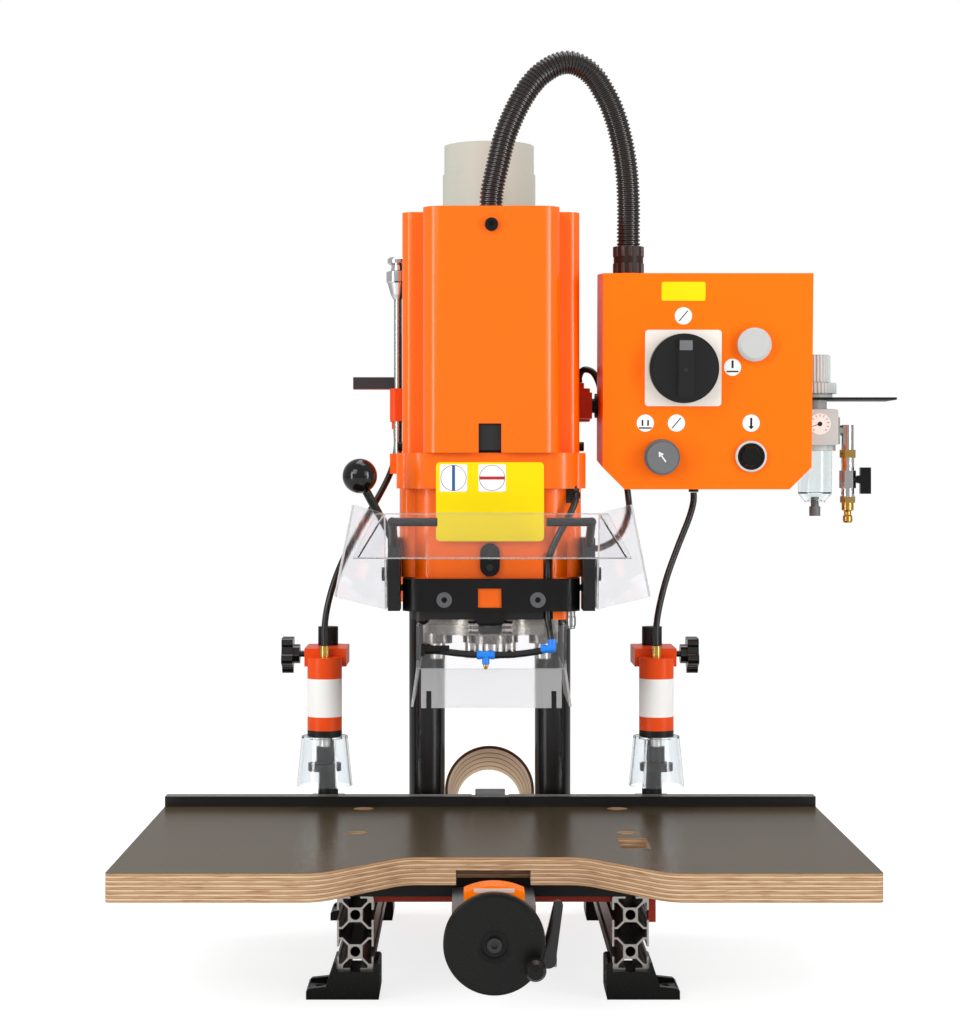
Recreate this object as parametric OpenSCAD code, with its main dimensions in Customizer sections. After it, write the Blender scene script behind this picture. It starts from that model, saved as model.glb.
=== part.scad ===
// Hinge boring machine: bench frame, drilling head on two columns, swivel gearbox,
// two air clamps, control box. Millimetres. The origin is the centre of the four
// bench bolts on the bench top, X to the right, Y to the rear, Z up.

/* [Bench frame] */
// Distance between the centres of the two rails
rail_spacing = 300; // [280:2:330]
// Width of a rail profile
rail_w = 40; // [36:1:45]
// Height of a rail profile, two cells
rail_h = 80; // [72:2:90]
// Length of the rails
rail_l = 538; // [500:2:560]
// Height of the rail seat above the bench
rail_z = 30; // [26:1:34]
// Outer height of a foot
foot_h = 40; // [36:1:44]
// Width of a foot, inside lip to toe
foot_w = 80; // [76:1:90]
// Length of a foot along the rail
foot_l = 60; // [50:1:70]
// Distance of the bench bolts from front to rear
bolt_spacing_y = 438; // [420:2:450]
// Diameter of a bench bolt hole
bolt_d = 9; // [7:0.5:11]

/* [Worktop] */
// Width of the worktop
table_w = 800; // [780:5:900]
// Thickness of the plywood
table_t = 30; // [24:1:36]
// Front edge of the worktop, in front of the bench bolt centre
table_front = 386; // [370:2:400]
// Rear edge of the worktop
table_rear = 135; // [134:1:150]
// Width of the front notch at the outer edge
notch_w = 362; // [340:2:380]
// Width of the front notch at its inner edge
notch_in_w = 192; // [180:2:200]
// Depth of the front notch
notch_d = 100; // [80:2:110]
// Height of the fence above the worktop
fence_h = 12.3; // [10:0.1:16]
// Depth of the fence bars
fence_d = 23; // [20:1:24]
// Gap between the two fence bars
fence_gap = 46; // [40:1:60]

/* [Depth setting] */
// Diameter of the handwheel
wheel_d = 105; // [90:1:120]
// Diameter of the lead screw
screw_d = 16; // [14:1:20]
// Height of the lead screw
screw_z = 91; // [88:1:94]
// Width of the position counter
counter_w = 63; // [56:1:66]

/* [Columns and carriage] */
// Diameter of a column
column_d = 45; // [40:1:48]
// Distance between the columns
column_spacing = 158; // [154:1:164]
// Columns behind the bench bolt centre
column_y = 150; // [146:1:156]
// Top of the columns
column_top = 745; // [720:5:780]
// Width of the cross block on the columns
yoke_w = 250; // [244:2:256]
// Height of the cross block
yoke_h = 41; // [36:1:48]
// Centre height of the cross block
yoke_z = 656; // [650:1:662]

/* [Head] */
// Drilling axis behind the bench bolt centre
drill_y = 50; // [46:1:54]
// Width of the head casting
head_w = 212; // [206:2:218]
// Width of the collar on top of the head casting
collar_w = 224; // [220:2:228]
// Underside of the head casting
head_z = 400; // [396:1:406]
// Top of the head casting
head_top = 595; // [590:1:600]
// Width of the cover over the motor
cover_w = 212; // [206:2:218]
// Width of the front bump of the cover
bump_w = 160; // [140:2:170]
// Height of the cover
cover_h = 287; // [270:1:300]
// Wall of the cover
cover_t = 3; // [2:0.5:4]
// Stroke of the head
stroke = 100; // [60:5:100]
// Outer diameter of the extraction pipe
pipe_d = 117; // [110:1:125]

/* [Gearbox] */
// Diameter of the gearbox ring
ring_d = 164; // [156:1:166]
// Height of the gearbox ring
ring_h = 19; // [18:1:22]
// Sideways distance of the hinge plug spindles from the axis
plug_x = 22.5; // [21:0.5:24]
// Setback of the hinge plug spindles from the axis
plug_y = 9.5; // [8:0.5:11]
// Pitch of the row spindles
row_pitch = 32; // [31:0.5:33]
// Teeth of the hinge plug gears
plug_teeth = 24; // [18:1:30]
// Teeth of the centre gear and the outer gears of the row
row_teeth = 22; // [20:2:26]

/* [Clamps] */
// Sideways place of a clamp post
post_x = 201.5; // [190:0.5:220]
// Diameter of a clamp post
post_d = 25; // [20:1:28]
// Height of a clamp post
post_top = 380; // [370:5:400]
// Diameter of a clamp cylinder
cylinder_d = 42; // [38:1:46]
// Cylinder axis behind the bench bolt centre
cylinder_y = 50; // [40:1:55]
// Stroke of a clamp
clamp_stroke = 33; // [20:1:40]

/* [Guard] */
// Width of the visor at the top of its front edges
visor_w = 312; // [300:2:320]
// Thickness of the visor sheet
visor_t = 3; // [2:0.5:4]

/* [Control box] */
// Width of the control box
box_w = 248; // [240:2:260]
// Height of the control box
box_h = 256; // [250:1:264]
// Depth of the control box
box_d = 130; // [120:1:140]
// Tilt of the control box, top to the front
box_tilt = 4; // [0:1:8]
// Diameter of the main switch knob
switch_d = 82; // [70:1:86]

/* [Hidden] */
$fn = 48;

// Colours
orange = "#FF7A00";
red_orange = "#F05A28";
black = "#1E1C1C";
steel = "#B9B7B2";
grey = "#8F9296";
clear = [0.85, 0.92, 0.95, 0.4];

// Clearances: running shafts, pieces that slide past each other, flat seats
run = 0.05;
gap = 0.3;

// Bench frame
rail_x = rail_spacing / 2;
rail_top = rail_z + rail_h;
rail_front = -238;
rail_rear = rail_front + rail_l;
foot_in = rail_x - rail_w / 2 - 7;
foot_out = foot_in + foot_w;
bolt_x = foot_out - 13;
cell = rail_h / 2;
cross_t = 21;
table_bottom = rail_top + cross_t;
table_top = table_bottom + table_t;
fence_y = 82;
fence_top = table_top + fence_h;
screw_rows = [-119, 66];
screw_x = 155;

// Band round the foot of the head
band_w = 208;
band_wall = 10;
band_front = -68;
band_z = [410, 448];
band_notch = [-16, 12];
band_screws = [-55, 54];
band_screw_z = 423.5;

// Depth setting
wheel_y = -402;
bracket_y = -340;
bracket_t = 15;
wheel_t = 22;
lever_at = [56, 68];

// Columns and head
column_x = column_spacing / 2;
column_r = column_d / 2;
yoke_y = [column_y - 30, column_y + 30];
yoke_z0 = yoke_z - yoke_h / 2;
yoke_z1 = yoke_z + yoke_h / 2;
arm_y = 95;
arm_z = 654;
arm_r = 9;
carriage_z = [foot_h + 2, 95];
carriage_y = [105, 245];
stop_rod = [-115, 131];
collar_z = 553;
cover_z1 = head_top + cover_h;
stroke_top = yoke_z1 + 58.5 + stroke;
piston_z = stroke_top - 32;
pipe_y = 262;
pipe_z = [430, 959, 997];
sleeve_d = pipe_d + 4;
bush_r = column_r + 5;
hub_r = 50;

// Air hoses, the fittings that hold their ends, and the groove of the blow-off hose
hose_r = 4;
fitting_r = 6;
hose_x = 66;

// Lock of the gearbox swivel, the centre of its ball
lock_at = [-80, -46, 401];

// Gearbox
ring_z0 = head_z - 2 - ring_h;
ring_z1 = head_z - 2;
plug_dist = norm([plug_x, plug_y]);
plug_m = plug_dist / plug_teeth;
idler_teeth = 42;
row_m = 2 * row_pitch / (row_teeth + idler_teeth);
plug_gear_z = ring_z0 + 3;
plug_gear_h = 4.5;
row_gear_z = plug_gear_z + plug_gear_h + 1.5;
row_gear_h = 5;
shaft_r = 6;
nose_r = 9;
boss_z = ring_z0 - 14;
nose_z = ring_z0 - 33;
teeth_play = 0.15;

// Clamps
post_y = 118.5;
clamp_z = [335, 357];
cylinder_z = [252, 347];
pad_low = table_top + 16;
plunger_z = pad_low + clamp_stroke;

// Guard
hinge_y = -30;
hinge_z = 436;
pin_r = 4;
bracket_x = head_w / 2 + 0.5;
bracket_w = 14;
guard_bolt = [-60, 453.5];

// Control box, with its own frame on the front face
box_gap = 7.5;
box_at = [yoke_w / 2 + box_gap + box_w / 2, -22, 679.5];
box_wall = 2;
box_chamfer = 26;

// Air unit behind the box
air_at = [409, 150];
valve_at = [446.7, 128, 563];

// 2D outline with four rounded corners, centred
module rrect(w, d, r) {
    square([w - 2 * r, d], center = true);
    square([w, d - 2 * r], center = true);
    for (x = [-1, 1], y = [-1, 1])
        translate([x * (w / 2 - r), y * (d / 2 - r)])
            circle(r);
}

// Block with rounded upright edges, given by its lowest corner and size
module rblock(at, size, r) {
    translate([at[0] + size[0] / 2, at[1] + size[1] / 2, at[2]])
        linear_extrude(size[2])
            rrect(size[0], size[1], r);
}

// Round bar from p to q
module rod(p, q, r) {
    v = q - p;
    translate(p)
        rotate([0, acos(v[2] / norm(v)), atan2(v[1], v[0])])
            cylinder(h = norm(v), r = r);
}

module at_sides() {
    for (s = [-1, 1])
        scale_x(s)
            children();
}

module scale_x(s) {
    if (s < 0)
        mirror([1, 0, 0])
            children();
    else
        children();
}

// Socket head screw standing up from z = 0, its shank below
module cap_screw(d, head_d, head_h, l) {
    difference() {
        union() {
            cylinder(h = head_h, r = head_d / 2);
            translate([0, 0, -l])
                cylinder(h = l + 0.01, r = d / 2);
        }
        translate([0, 0, head_h / 2])
            cylinder(h = head_h, r = d * 0.46, $fn = 6);
    }
}

// Involute gear outline with its first tooth on +X
function roll(r, rb) = r <= rb ? 0 : sqrt(pow(r / rb, 2) - 1);
function inv(t) = t * 180 / PI - atan(t);
function half_tooth(r, m, z) =
    90 / z - teeth_play / (m * z / 2) * 90 / PI + inv(tan(20)) - inv(roll(r, m * z / 2 * cos(20)));
function gear_points(m, z) = [
    for (k = [0 : z - 1], p = [
        [m * (z / 2 - 1.25), -1], [m * z / 2 * 0.985, -1], [m * z / 2, -1], [m * (z / 2 + 0.95), -1],
        [m * (z / 2 + 0.95), 1], [m * z / 2, 1], [m * z / 2 * 0.985, 1], [m * (z / 2 - 1.25), 1]
    ])
        let (a = k * 360 / z + p[1] * half_tooth(p[0], m, z))
            p[0] * [cos(a), sin(a)]
];
module gear(m, z, h, phase) {
    rotate([0, 0, phase])
        linear_extrude(h)
            polygon(gear_points(m, z));
}
// Turn of a gear of z2 teeth that meshes with one of z1 teeth at the angle a
function mesh_phase(a, z1, z2) = 180 + a + a * z1 / z2 + 180 / z2;

// Tube of n sides swept along points, each ring square to the path
function unit(v) = v / norm(v);
function tangent(p, i) = unit(p[min(i + 1, len(p) - 1)] - p[max(i - 1, 0)]);
function frames(p, i = 0, u = undef) =
    let (t = tangent(p, i),
         w = is_undef(u) ? unit(cross(t, abs(t[0]) < 0.8 ? [1, 0, 0] : [0, 1, 0])) : unit(u - (u * t) * t))
        i == len(p) - 1 ? [[w, cross(t, w)]] : concat([[w, cross(t, w)]], frames(p, i + 1, w));
module sweep(p, r, n) {
    f = frames(p);
    last = (len(p) - 1) * n;
    polyhedron(
        points = [for (i = [0 : len(p) - 1], k = [0 : n - 1])
            p[i] + r * (cos(k * 360 / n) * f[i][0] + sin(k * 360 / n) * f[i][1])],
        faces = concat(
            [[for (k = [0 : n - 1]) k]],
            [for (i = [0 : len(p) - 2], k = [0 : n - 1])
                [i * n + k, (i + 1) * n + k, (i + 1) * n + (k + 1) % n, i * n + (k + 1) % n]],
            [[for (k = [n - 1 : -1 : 0]) last + k]]));
}
// Points of a smooth curve through the route's points
function spline(p, steps) = concat(
    [for (i = [0 : len(p) - 2], s = [0 : steps - 1])
        let (a = p[max(i - 1, 0)], b = p[i], c = p[i + 1], d = p[min(i + 2, len(p) - 1)], t = s / steps)
            0.5 * (2 * b + (c - a) * t + (2 * a - 5 * b + 4 * c - d) * t * t
                + (3 * b - a - 3 * c + d) * t * t * t)],
    [p[len(p) - 1]]);

// Points along the route, two for each rib of the pitch
function rib_points(p, pitch) = concat(
    [for (i = [0 : len(p) - 2])
        let (a = p[max(i - 1, 0)], b = p[i], c = p[i + 1], d = p[min(i + 2, len(p) - 1)],
             steps = 2 * round(norm(c - b) / pitch))
            for (k = [0 : steps - 1])
                let (t = k / steps)
                    0.5 * (2 * b + (c - a) * t + (2 * a - 5 * b + 4 * c - d) * t * t
                        + (3 * b - a - 3 * c + d) * t * t * t)],
    [p[len(p) - 1]]);
// Ribbed hose with its bore: outer rings stand high and low by turns, the bore is plain
module ribbed_hose(route, r, depth, wall, pitch, n) {
    p = rib_points(route, pitch);
    f = frames(p);
    c = len(p);
    rows = concat([for (i = [0 : 4 : c - 2]) i], [c - 1]);
    m = len(rows);
    base = c * n;
    polyhedron(
        points = concat(
            [for (i = [0 : c - 1], k = [0 : n - 1])
                p[i] + (r - (i % 2) * depth) * (cos(k * 360 / n) * f[i][0] + sin(k * 360 / n) * f[i][1])],
            [for (i = rows, k = [0 : n - 1])
                p[i] + (r - depth - wall) * (cos(k * 360 / n) * f[i][0] + sin(k * 360 / n) * f[i][1])]),
        faces = concat(
            [for (i = [0 : c - 2], k = [0 : n - 1])
                let (a = i * n + k, b = i * n + (k + 1) % n) each [[a, a + n, b + n], [a, b + n, b]]],
            [for (i = [0 : m - 2], k = [0 : n - 1])
                let (a = base + i * n + k, b = base + i * n + (k + 1) % n) each [[a, b + n, a + n], [a, b, b + n]]],
            [for (k = [0 : n - 1])
                let (k1 = (k + 1) % n) each [[k, k1, base + k1], [k, base + k1, base + k]]],
            [for (k = [0 : n - 1])
                let (k1 = (k + 1) % n, a = (c - 1) * n, b = base + (m - 1) * n)
                    each [[a + k, b + k1, a + k1], [a + k, b + k, b + k1]]]));
}

module on_box(x, z) {
    translate(box_at)
        rotate([box_tilt, 0, 0])
            translate([x, 0, z])
                rotate([90, 0, 0])
                    children();
}

// One cell of the rail profile: what is cut from a square of the cell's size
module slot_cut(open) {
    mouth = 11;
    wall = 2.2;
    web = cell / 2 - 6.8;
    core = 8;
    if (open)
        translate([cell / 2 - wall - 0.01, -mouth / 2])
            square([wall + 1, mouth]);
    polygon([
        [cell / 2 - wall, -web], [cell / 2 - wall, web], [web + 1.6, web],
        [core, core - 1.6], [core, -core + 1.6], [web + 1.6, -web]
    ]);
}
module rail_profile() {
    difference() {
        rrect(rail_w, rail_h, 2);
        for (s = [-1, 1])
            translate([0, s * cell / 2]) {
                circle(5.5);
                slot_cut(true);
                rotate(180)
                    slot_cut(true);
                rotate(s * 90)
                    slot_cut(true);
                rotate(-s * 90)
                    slot_cut(false);
            }
        square([rail_w - 4.4, 9], center = true);
    }
}
module base_rails() {
    color(steel)
        at_sides()
            translate([rail_x, rail_rear, rail_z + cell])
                rotate([90, 0, 0])
                    linear_extrude(rail_l)
                        rail_profile();
}

module foot() {
    ledge = 12;
    seat_top = rail_x + rail_w / 2;
    difference() {
        rotate([90, 0, 0])
            translate([0, 0, -foot_l / 2])
                linear_extrude(foot_l)
                    polygon([
                        [foot_in + 1, 0], [foot_out, 0], [foot_out, ledge - 3], [foot_out - 3, ledge],
                        [bolt_x - bolt_d / 2 - 4, ledge + 2], [seat_top + 4.5, foot_h - 5],
                        [seat_top + 3, foot_h], [foot_in + 2, foot_h], [foot_in, foot_h - 2], [foot_in, 6]
                    ]);
        translate([rail_x - rail_w / 2, -foot_l, rail_z])
            cube([rail_w, 2 * foot_l, rail_h]);
        // Recess round the bolt, open above the toe
        recess_l = foot_l - 16;
        translate([bolt_x - 9, -recess_l / 2, ledge - 3])
            cube([7 + foot_out - bolt_x, recess_l, foot_h]);
        translate([bolt_x, 0, -1])
            cylinder(h = foot_h, r = bolt_d / 2);
    }
}
module feet() {
    color(black)
        at_sides()
            for (y = [-1, 1])
                translate([0, y * bolt_spacing_y / 2, 0])
                    foot();
}

// Black bars across the rails under the worktop, with the red tie at the front
module cross_members() {
    bar = rail_spacing + rail_w + 16;
    color(black)
        for (y = [rail_front, 60])
            difference() {
                translate([-bar / 2, y, rail_top])
                    cube([bar, 44, cross_t]);
                for (x = [-screw_x, screw_x])
                    for (row = screw_rows)
                        translate([x, row, rail_top - 1])
                            cylinder(h = cross_t + 2, r = 3.2);
            }
    color(red_orange)
        translate([-rail_x + rail_w / 2, rail_front + 6, rail_top - 7])
            cube([rail_spacing - rail_w, 24, 7]);
    color(red_orange)
        translate([rail_x + rail_w / 2, rail_front + 6, rail_top - 29])
            cube([8, 24, 29]);
}

// Arc of radius r that rounds the corner b between its neighbours a and c
function corner(a, b, c, r, n) =
    let (u = unit(a - b), v = unit(c - b), half = acos(u * v) / 2,
         o = b + unit(u + v) * r / sin(half),
         from = b + u * r / tan(half) - o, to = b + v * r / tan(half) - o,
         a0 = atan2(from[1], from[0]), swing = atan2(to[1], to[0]) - a0,
         turn = swing > 180 ? swing - 360 : swing < -180 ? swing + 360 : swing)
        [for (k = [0 : n]) o + r * [cos(a0 + turn * k / n), sin(a0 + turn * k / n)]];
module table_outline() {
    notch_r = 40;
    cut_x = column_x + column_r + 10;
    front = -table_front;
    // Each point of the right half with its corner radius, front centre to rear centre
    half = [
        [[0, front + notch_d], 0], [[notch_in_w / 2, front + notch_d], notch_r], [[notch_w / 2, front], notch_r],
        [[table_w / 2, front], 6], [[table_w / 2, table_rear], 6], [[cut_x, table_rear], 0], [[cut_x, 112], 0],
        [[0, 112], 0]
    ];
    right = [
        for (k = [1 : len(half) - 2])
            let (b = half[k])
                each (b[1] > 0 ? corner(half[k - 1][0], b[0], half[k + 1][0], b[1], 8) : [b[0]])
    ];
    polygon(concat(right, [for (k = [len(right) - 1 : -1 : 0]) [-right[k][0], right[k][1]]]));
}
module worktop() {
    color("#6B5F50")
        difference() {
            translate([0, 0, table_bottom])
                linear_extrude(table_t)
                    table_outline();
            for (x = [-screw_x, screw_x], y = screw_rows) {
                translate([x, y, table_top - 8])
                    cylinder(h = 9, r = 12.5);
                translate([x, y, table_bottom - 1])
                    cylinder(h = table_t, r = 3.4);
            }
            translate([140, -231, table_bottom - 1])
                cube([33, 77, table_t + 2]);
            translate([-40, -table_front + notch_d - 1, table_bottom - 1])
                cube([80, 46, 17]);
        }
}
module table_screws() {
    color(steel)
        for (x = [-screw_x, screw_x], y = screw_rows)
            translate([x, y, table_top - 8])
                cap_screw(6, 18, 5, table_t - 8);
}

module fence() {
    bar_l = (table_w - fence_gap) / 2;
    color(black)
        at_sides()
            difference() {
                translate([fence_gap / 2, fence_y, table_top])
                    cube([bar_l, fence_d, fence_h]);
                for (y = [6, 15])
                    translate([0, fence_y + y, fence_top - 1.2])
                        cube([table_w, 1.6, 3]);
            }
    color(black)
        translate([-fence_gap / 2, fence_y + 3, table_top])
            cube([fence_gap, fence_d - 3, fence_h - 1]);
    color(grey)
        rblock([-18.5, fence_y + fence_d, table_top], [37, 7, 18], 3);
}

module clamp_posts() {
    color(black)
        at_sides()
            translate([post_x, post_y, table_top]) {
                cylinder(h = post_top - table_top, r = post_d / 2);
                translate([-20, -post_y + fence_y + fence_d, 0])
                    cube([40, table_rear - fence_y - fence_d - 2, 9]);
            }
}

module screw_bracket() {
    plate_w = 88;
    color(grey)
        difference() {
            union() {
                rblock([-plate_w / 2, bracket_y, screw_z - 24], [plate_w, bracket_t, rail_top + 2 - screw_z + 24], 3);
                rblock([plate_w / 2 - 12, bracket_y, lever_at[1] - 13], [34, bracket_t, 27], 3);
                translate([-plate_w / 2, bracket_y, rail_top])
                    cube([plate_w, rail_front - bracket_y, 10]);
            }
            translate([0, bracket_y - 1, screw_z])
                rotate([-90, 0, 0])
                    cylinder(h = bracket_t + 2, r = screw_d / 2 + run);
            translate([lever_at[0], bracket_y - 1, lever_at[1]])
                rotate([-90, 0, 0])
                    cylinder(h = bracket_t + 2, r = 4 + run);
        }
}

module position_counter() {
    y0 = bracket_y - 33;
    color(orange)
        difference() {
            union() {
                translate([0, y0, screw_z])
                    rotate([-90, 0, 0])
                        cylinder(h = 33, r = 27);
                translate([-counter_w / 2, y0, screw_z])
                    cube([counter_w, 33, 46]);
                translate([0, y0, screw_z + 46])
                    rotate([-90, 0, 0])
                        intersection() {
                            translate([0, 66, 0])
                                cylinder(h = 33, r = 75);
                            translate([-counter_w / 2, -9, 0])
                                cube([counter_w, 9, 33]);
                        }
            }
            translate([0, y0 - 1, screw_z])
                rotate([-90, 0, 0])
                    cylinder(h = 35, r = screw_d / 2 + run);
            translate([-23, y0 - 1, screw_z + 36])
                cube([46, 3, 7]);
        }
}

// Lever that clamps the depth setting, on a stud in the bracket
module lock_lever() {
    color(black)
        translate([lever_at[0], bracket_y, lever_at[1]]) {
            translate([0, -26, 0])
                rotate([-90, 0, 0])
                    cylinder(h = 26 - gap, r = 9);
            translate([0, -26, 0])
                rotate([-90, 0, 0])
                    cylinder(h = 26 + bracket_t - 2, r = 4);
            hull() {
                translate([0, -26, 0])
                    rotate([-90, 0, 0])
                        cylinder(h = 10, r = 8, $fn = 32);
                translate([10, -36, 58])
                    rotate([-90, 0, 0])
                        cylinder(h = 9, r = 5, $fn = 32);
            }
        }
}

module handwheel() {
    color(black)
        translate([0, wheel_y, screw_z])
            rotate([-90, 0, 0])
                difference() {
                    rotate_extrude($fn = 96)
                        polygon([
                            [screw_d / 2 - 2, 4], [14, 4], [14, 1.5], [19, 0], [wheel_d / 2 - 4, 0],
                            [wheel_d / 2 - 1, 1], [wheel_d / 2, 4], [wheel_d / 2, 12],
                            [wheel_d / 2 - 3, wheel_t - 7], [24, wheel_t - 7], [16, wheel_t],
                            [screw_d / 2 - 2, wheel_t]
                        ]);
                    translate([41, 20, -1])
                        cylinder(h = wheel_t + 2, r = 4 + run);
                }
}
module lead_screw() {
    nut_y = carriage_y[0];
    color(steel) {
        translate([0, wheel_y + 2, screw_z])
            rotate([-90, 0, 0])
                cylinder(h = wheel_t, r = screw_d / 2 - 2);
        translate([0, wheel_y + wheel_t, screw_z])
            rotate([-90, 0, 0])
                cylinder(h = nut_y + 45 - wheel_y - wheel_t, r = screw_d / 2);
        translate([0, wheel_y + 4, screw_z])
            rotate([90, 0, 0])
                cap_screw(8, 15, 8, 2);
    }
}
module crank_grip() {
    color(black)
        translate([41, wheel_y, screw_z - 20])
            rotate([90, 0, 0]) {
                translate([0, 0, -wheel_t + 4])
                    cylinder(h = wheel_t - 4, r = 4);
                rotate_extrude()
                    polygon([[0, gap], [8, gap], [9.5, 8], [11, 20], [11, 30], [8, 36], [0, 37]]);
            }
}

module carriage() {
    w = rail_spacing - rail_w - 2 * gap;
    h = carriage_z[1] - carriage_z[0];
    color(red_orange)
        difference() {
            union() {
                rblock([-w / 2, carriage_y[0], carriage_z[0]], [w, carriage_y[1] - carriage_y[0], h], 2);
                for (s = [-1, 1])
                    translate([s * w / 2 - 3, carriage_y[0] + 10, rail_z + cell * 1.5 - 3.5])
                        cube([6, carriage_y[1] - carriage_y[0] - 20, 7]);
                for (s = [-1, 1])
                    translate([s * column_x, column_y, carriage_z[0]])
                        cylinder(h = h + 22, r = column_r + 9);
                translate([-58, 224, carriage_z[1]])
                    cube([116, 10, 48]);
            }
            for (s = [-1, 1])
                translate([s * column_x, column_y, carriage_z[0] + 8])
                    cylinder(h = h + 30, r = column_r + 0.02);
            translate([0, carriage_y[0] - 1, screw_z])
                rotate([-90, 0, 0])
                    cylinder(h = carriage_y[1] - carriage_y[0] + 2, r = screw_d / 2 + run);
            duct_place()
                cylinder(h = 400, r = 58, center = true);
        }
}
module columns() {
    color(black)
        for (s = [-1, 1])
            translate([s * column_x, column_y, carriage_z[0] + 8])
                cylinder(h = column_top - carriage_z[0] - 8, r = column_r);
}
module column_yoke() {
    color(red_orange)
        difference() {
            union() {
                rblock([-yoke_w / 2, yoke_y[0], yoke_z0], [yoke_w, yoke_y[1] - yoke_y[0], yoke_h], 8);
                translate([cover_w / 2 + 3, arm_y - 16, arm_z - 16])
                    cube([yoke_w / 2 - cover_w / 2 - 3, yoke_y[0] - arm_y + 24, 32]);
            }
            for (s = [-1, 1])
                translate([s * column_x, column_y, yoke_z0 - 1])
                    cylinder(h = yoke_h + 2, r = column_r + 0.02);
            translate([0, column_y, yoke_z0 - 1])
                cylinder(h = yoke_h + 2, r = 10 + run);
            translate([stop_rod[0], stop_rod[1], yoke_z0 - 1])
                cylinder(h = yoke_h + 2, r = 5 + gap);
            translate([cover_w / 2, arm_y, arm_z])
                rotate([0, 90, 0])
                    cylinder(h = 40, r = arm_r + 0.02);
        }
    color(grey)
        translate([-172, column_y - 2, yoke_z1])
            cube([52, 28, 15]);
    color(black) {
        rod([112, 136, yoke_z1 - 1], [112, 136, 683.7], fitting_r);
        rod([-118, 166, yoke_z0 + 1], [-118, 166, yoke_z0 - 9], fitting_r);
    }
}
module box_arm() {
    plate_z = 662;
    plate_x = 505;
    plate_y = box_at[1] + box_d / cos(box_tilt) + (box_at[2] - plate_z) * tan(box_tilt) + 0.2;
    color(black)
        difference() {
            union() {
                rod([cover_w / 2 + 3, arm_y, arm_z], [box_at[0] - box_w / 2 + 40, arm_y, arm_z], arm_r);
                translate([box_at[0] - box_w / 2 - 3.5, arm_y, arm_z])
                    rotate([0, 90, 0])
                        cylinder(h = 3.5, r = arm_r + 6);
            }
            rod([cover_w / 2, arm_y, arm_z], [box_at[0], arm_y, arm_z], arm_r - 2.5);
        }
    color(black)
        difference() {
            translate([box_at[0] + 30, plate_y, plate_z])
                cube([plate_x - box_at[0] - 30, air_at[1] + 40 - plate_y, 3]);
            translate([air_at[0], air_at[1], plate_z - 1])
                cylinder(h = 5, r = 15 + gap);
        }
    color(black)
        translate(box_at)
            rotate([box_tilt, 0, 0])
                translate([30, box_d, -78])
                    cube([60, 3, 60]);
}

module stroke_cylinder() {
    r = 25;
    top = stroke_top;
    color(steel)
        translate([0, column_y, yoke_z1])
            difference() {
                union() {
                    cylinder(h = top - yoke_z1, r = r);
                    cylinder(h = 14, r = r + 3);
                    translate([0, 0, top - yoke_z1 - 14])
                        cylinder(h = 14, r = r + 3);
                }
                translate([0, 0, 12])
                    cylinder(h = top - yoke_z1 - 24, r = 20 + run);
                translate([0, 0, -1])
                    cylinder(h = 20, r = 10 + run);
            }
}
// Piston rod of the stroke cylinder and the rod of the stroke stop
module head_rods() {
    color(steel) {
        translate([0, column_y, head_top])
            cylinder(h = piston_z + 12 - head_top, r = 10);
        translate([0, column_y, piston_z])
            cylinder(h = 16, r = 20);
        translate([stop_rod[0], stop_rod[1], head_top])
            cylinder(h = 800 - head_top, r = 5);
    }
}

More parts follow.
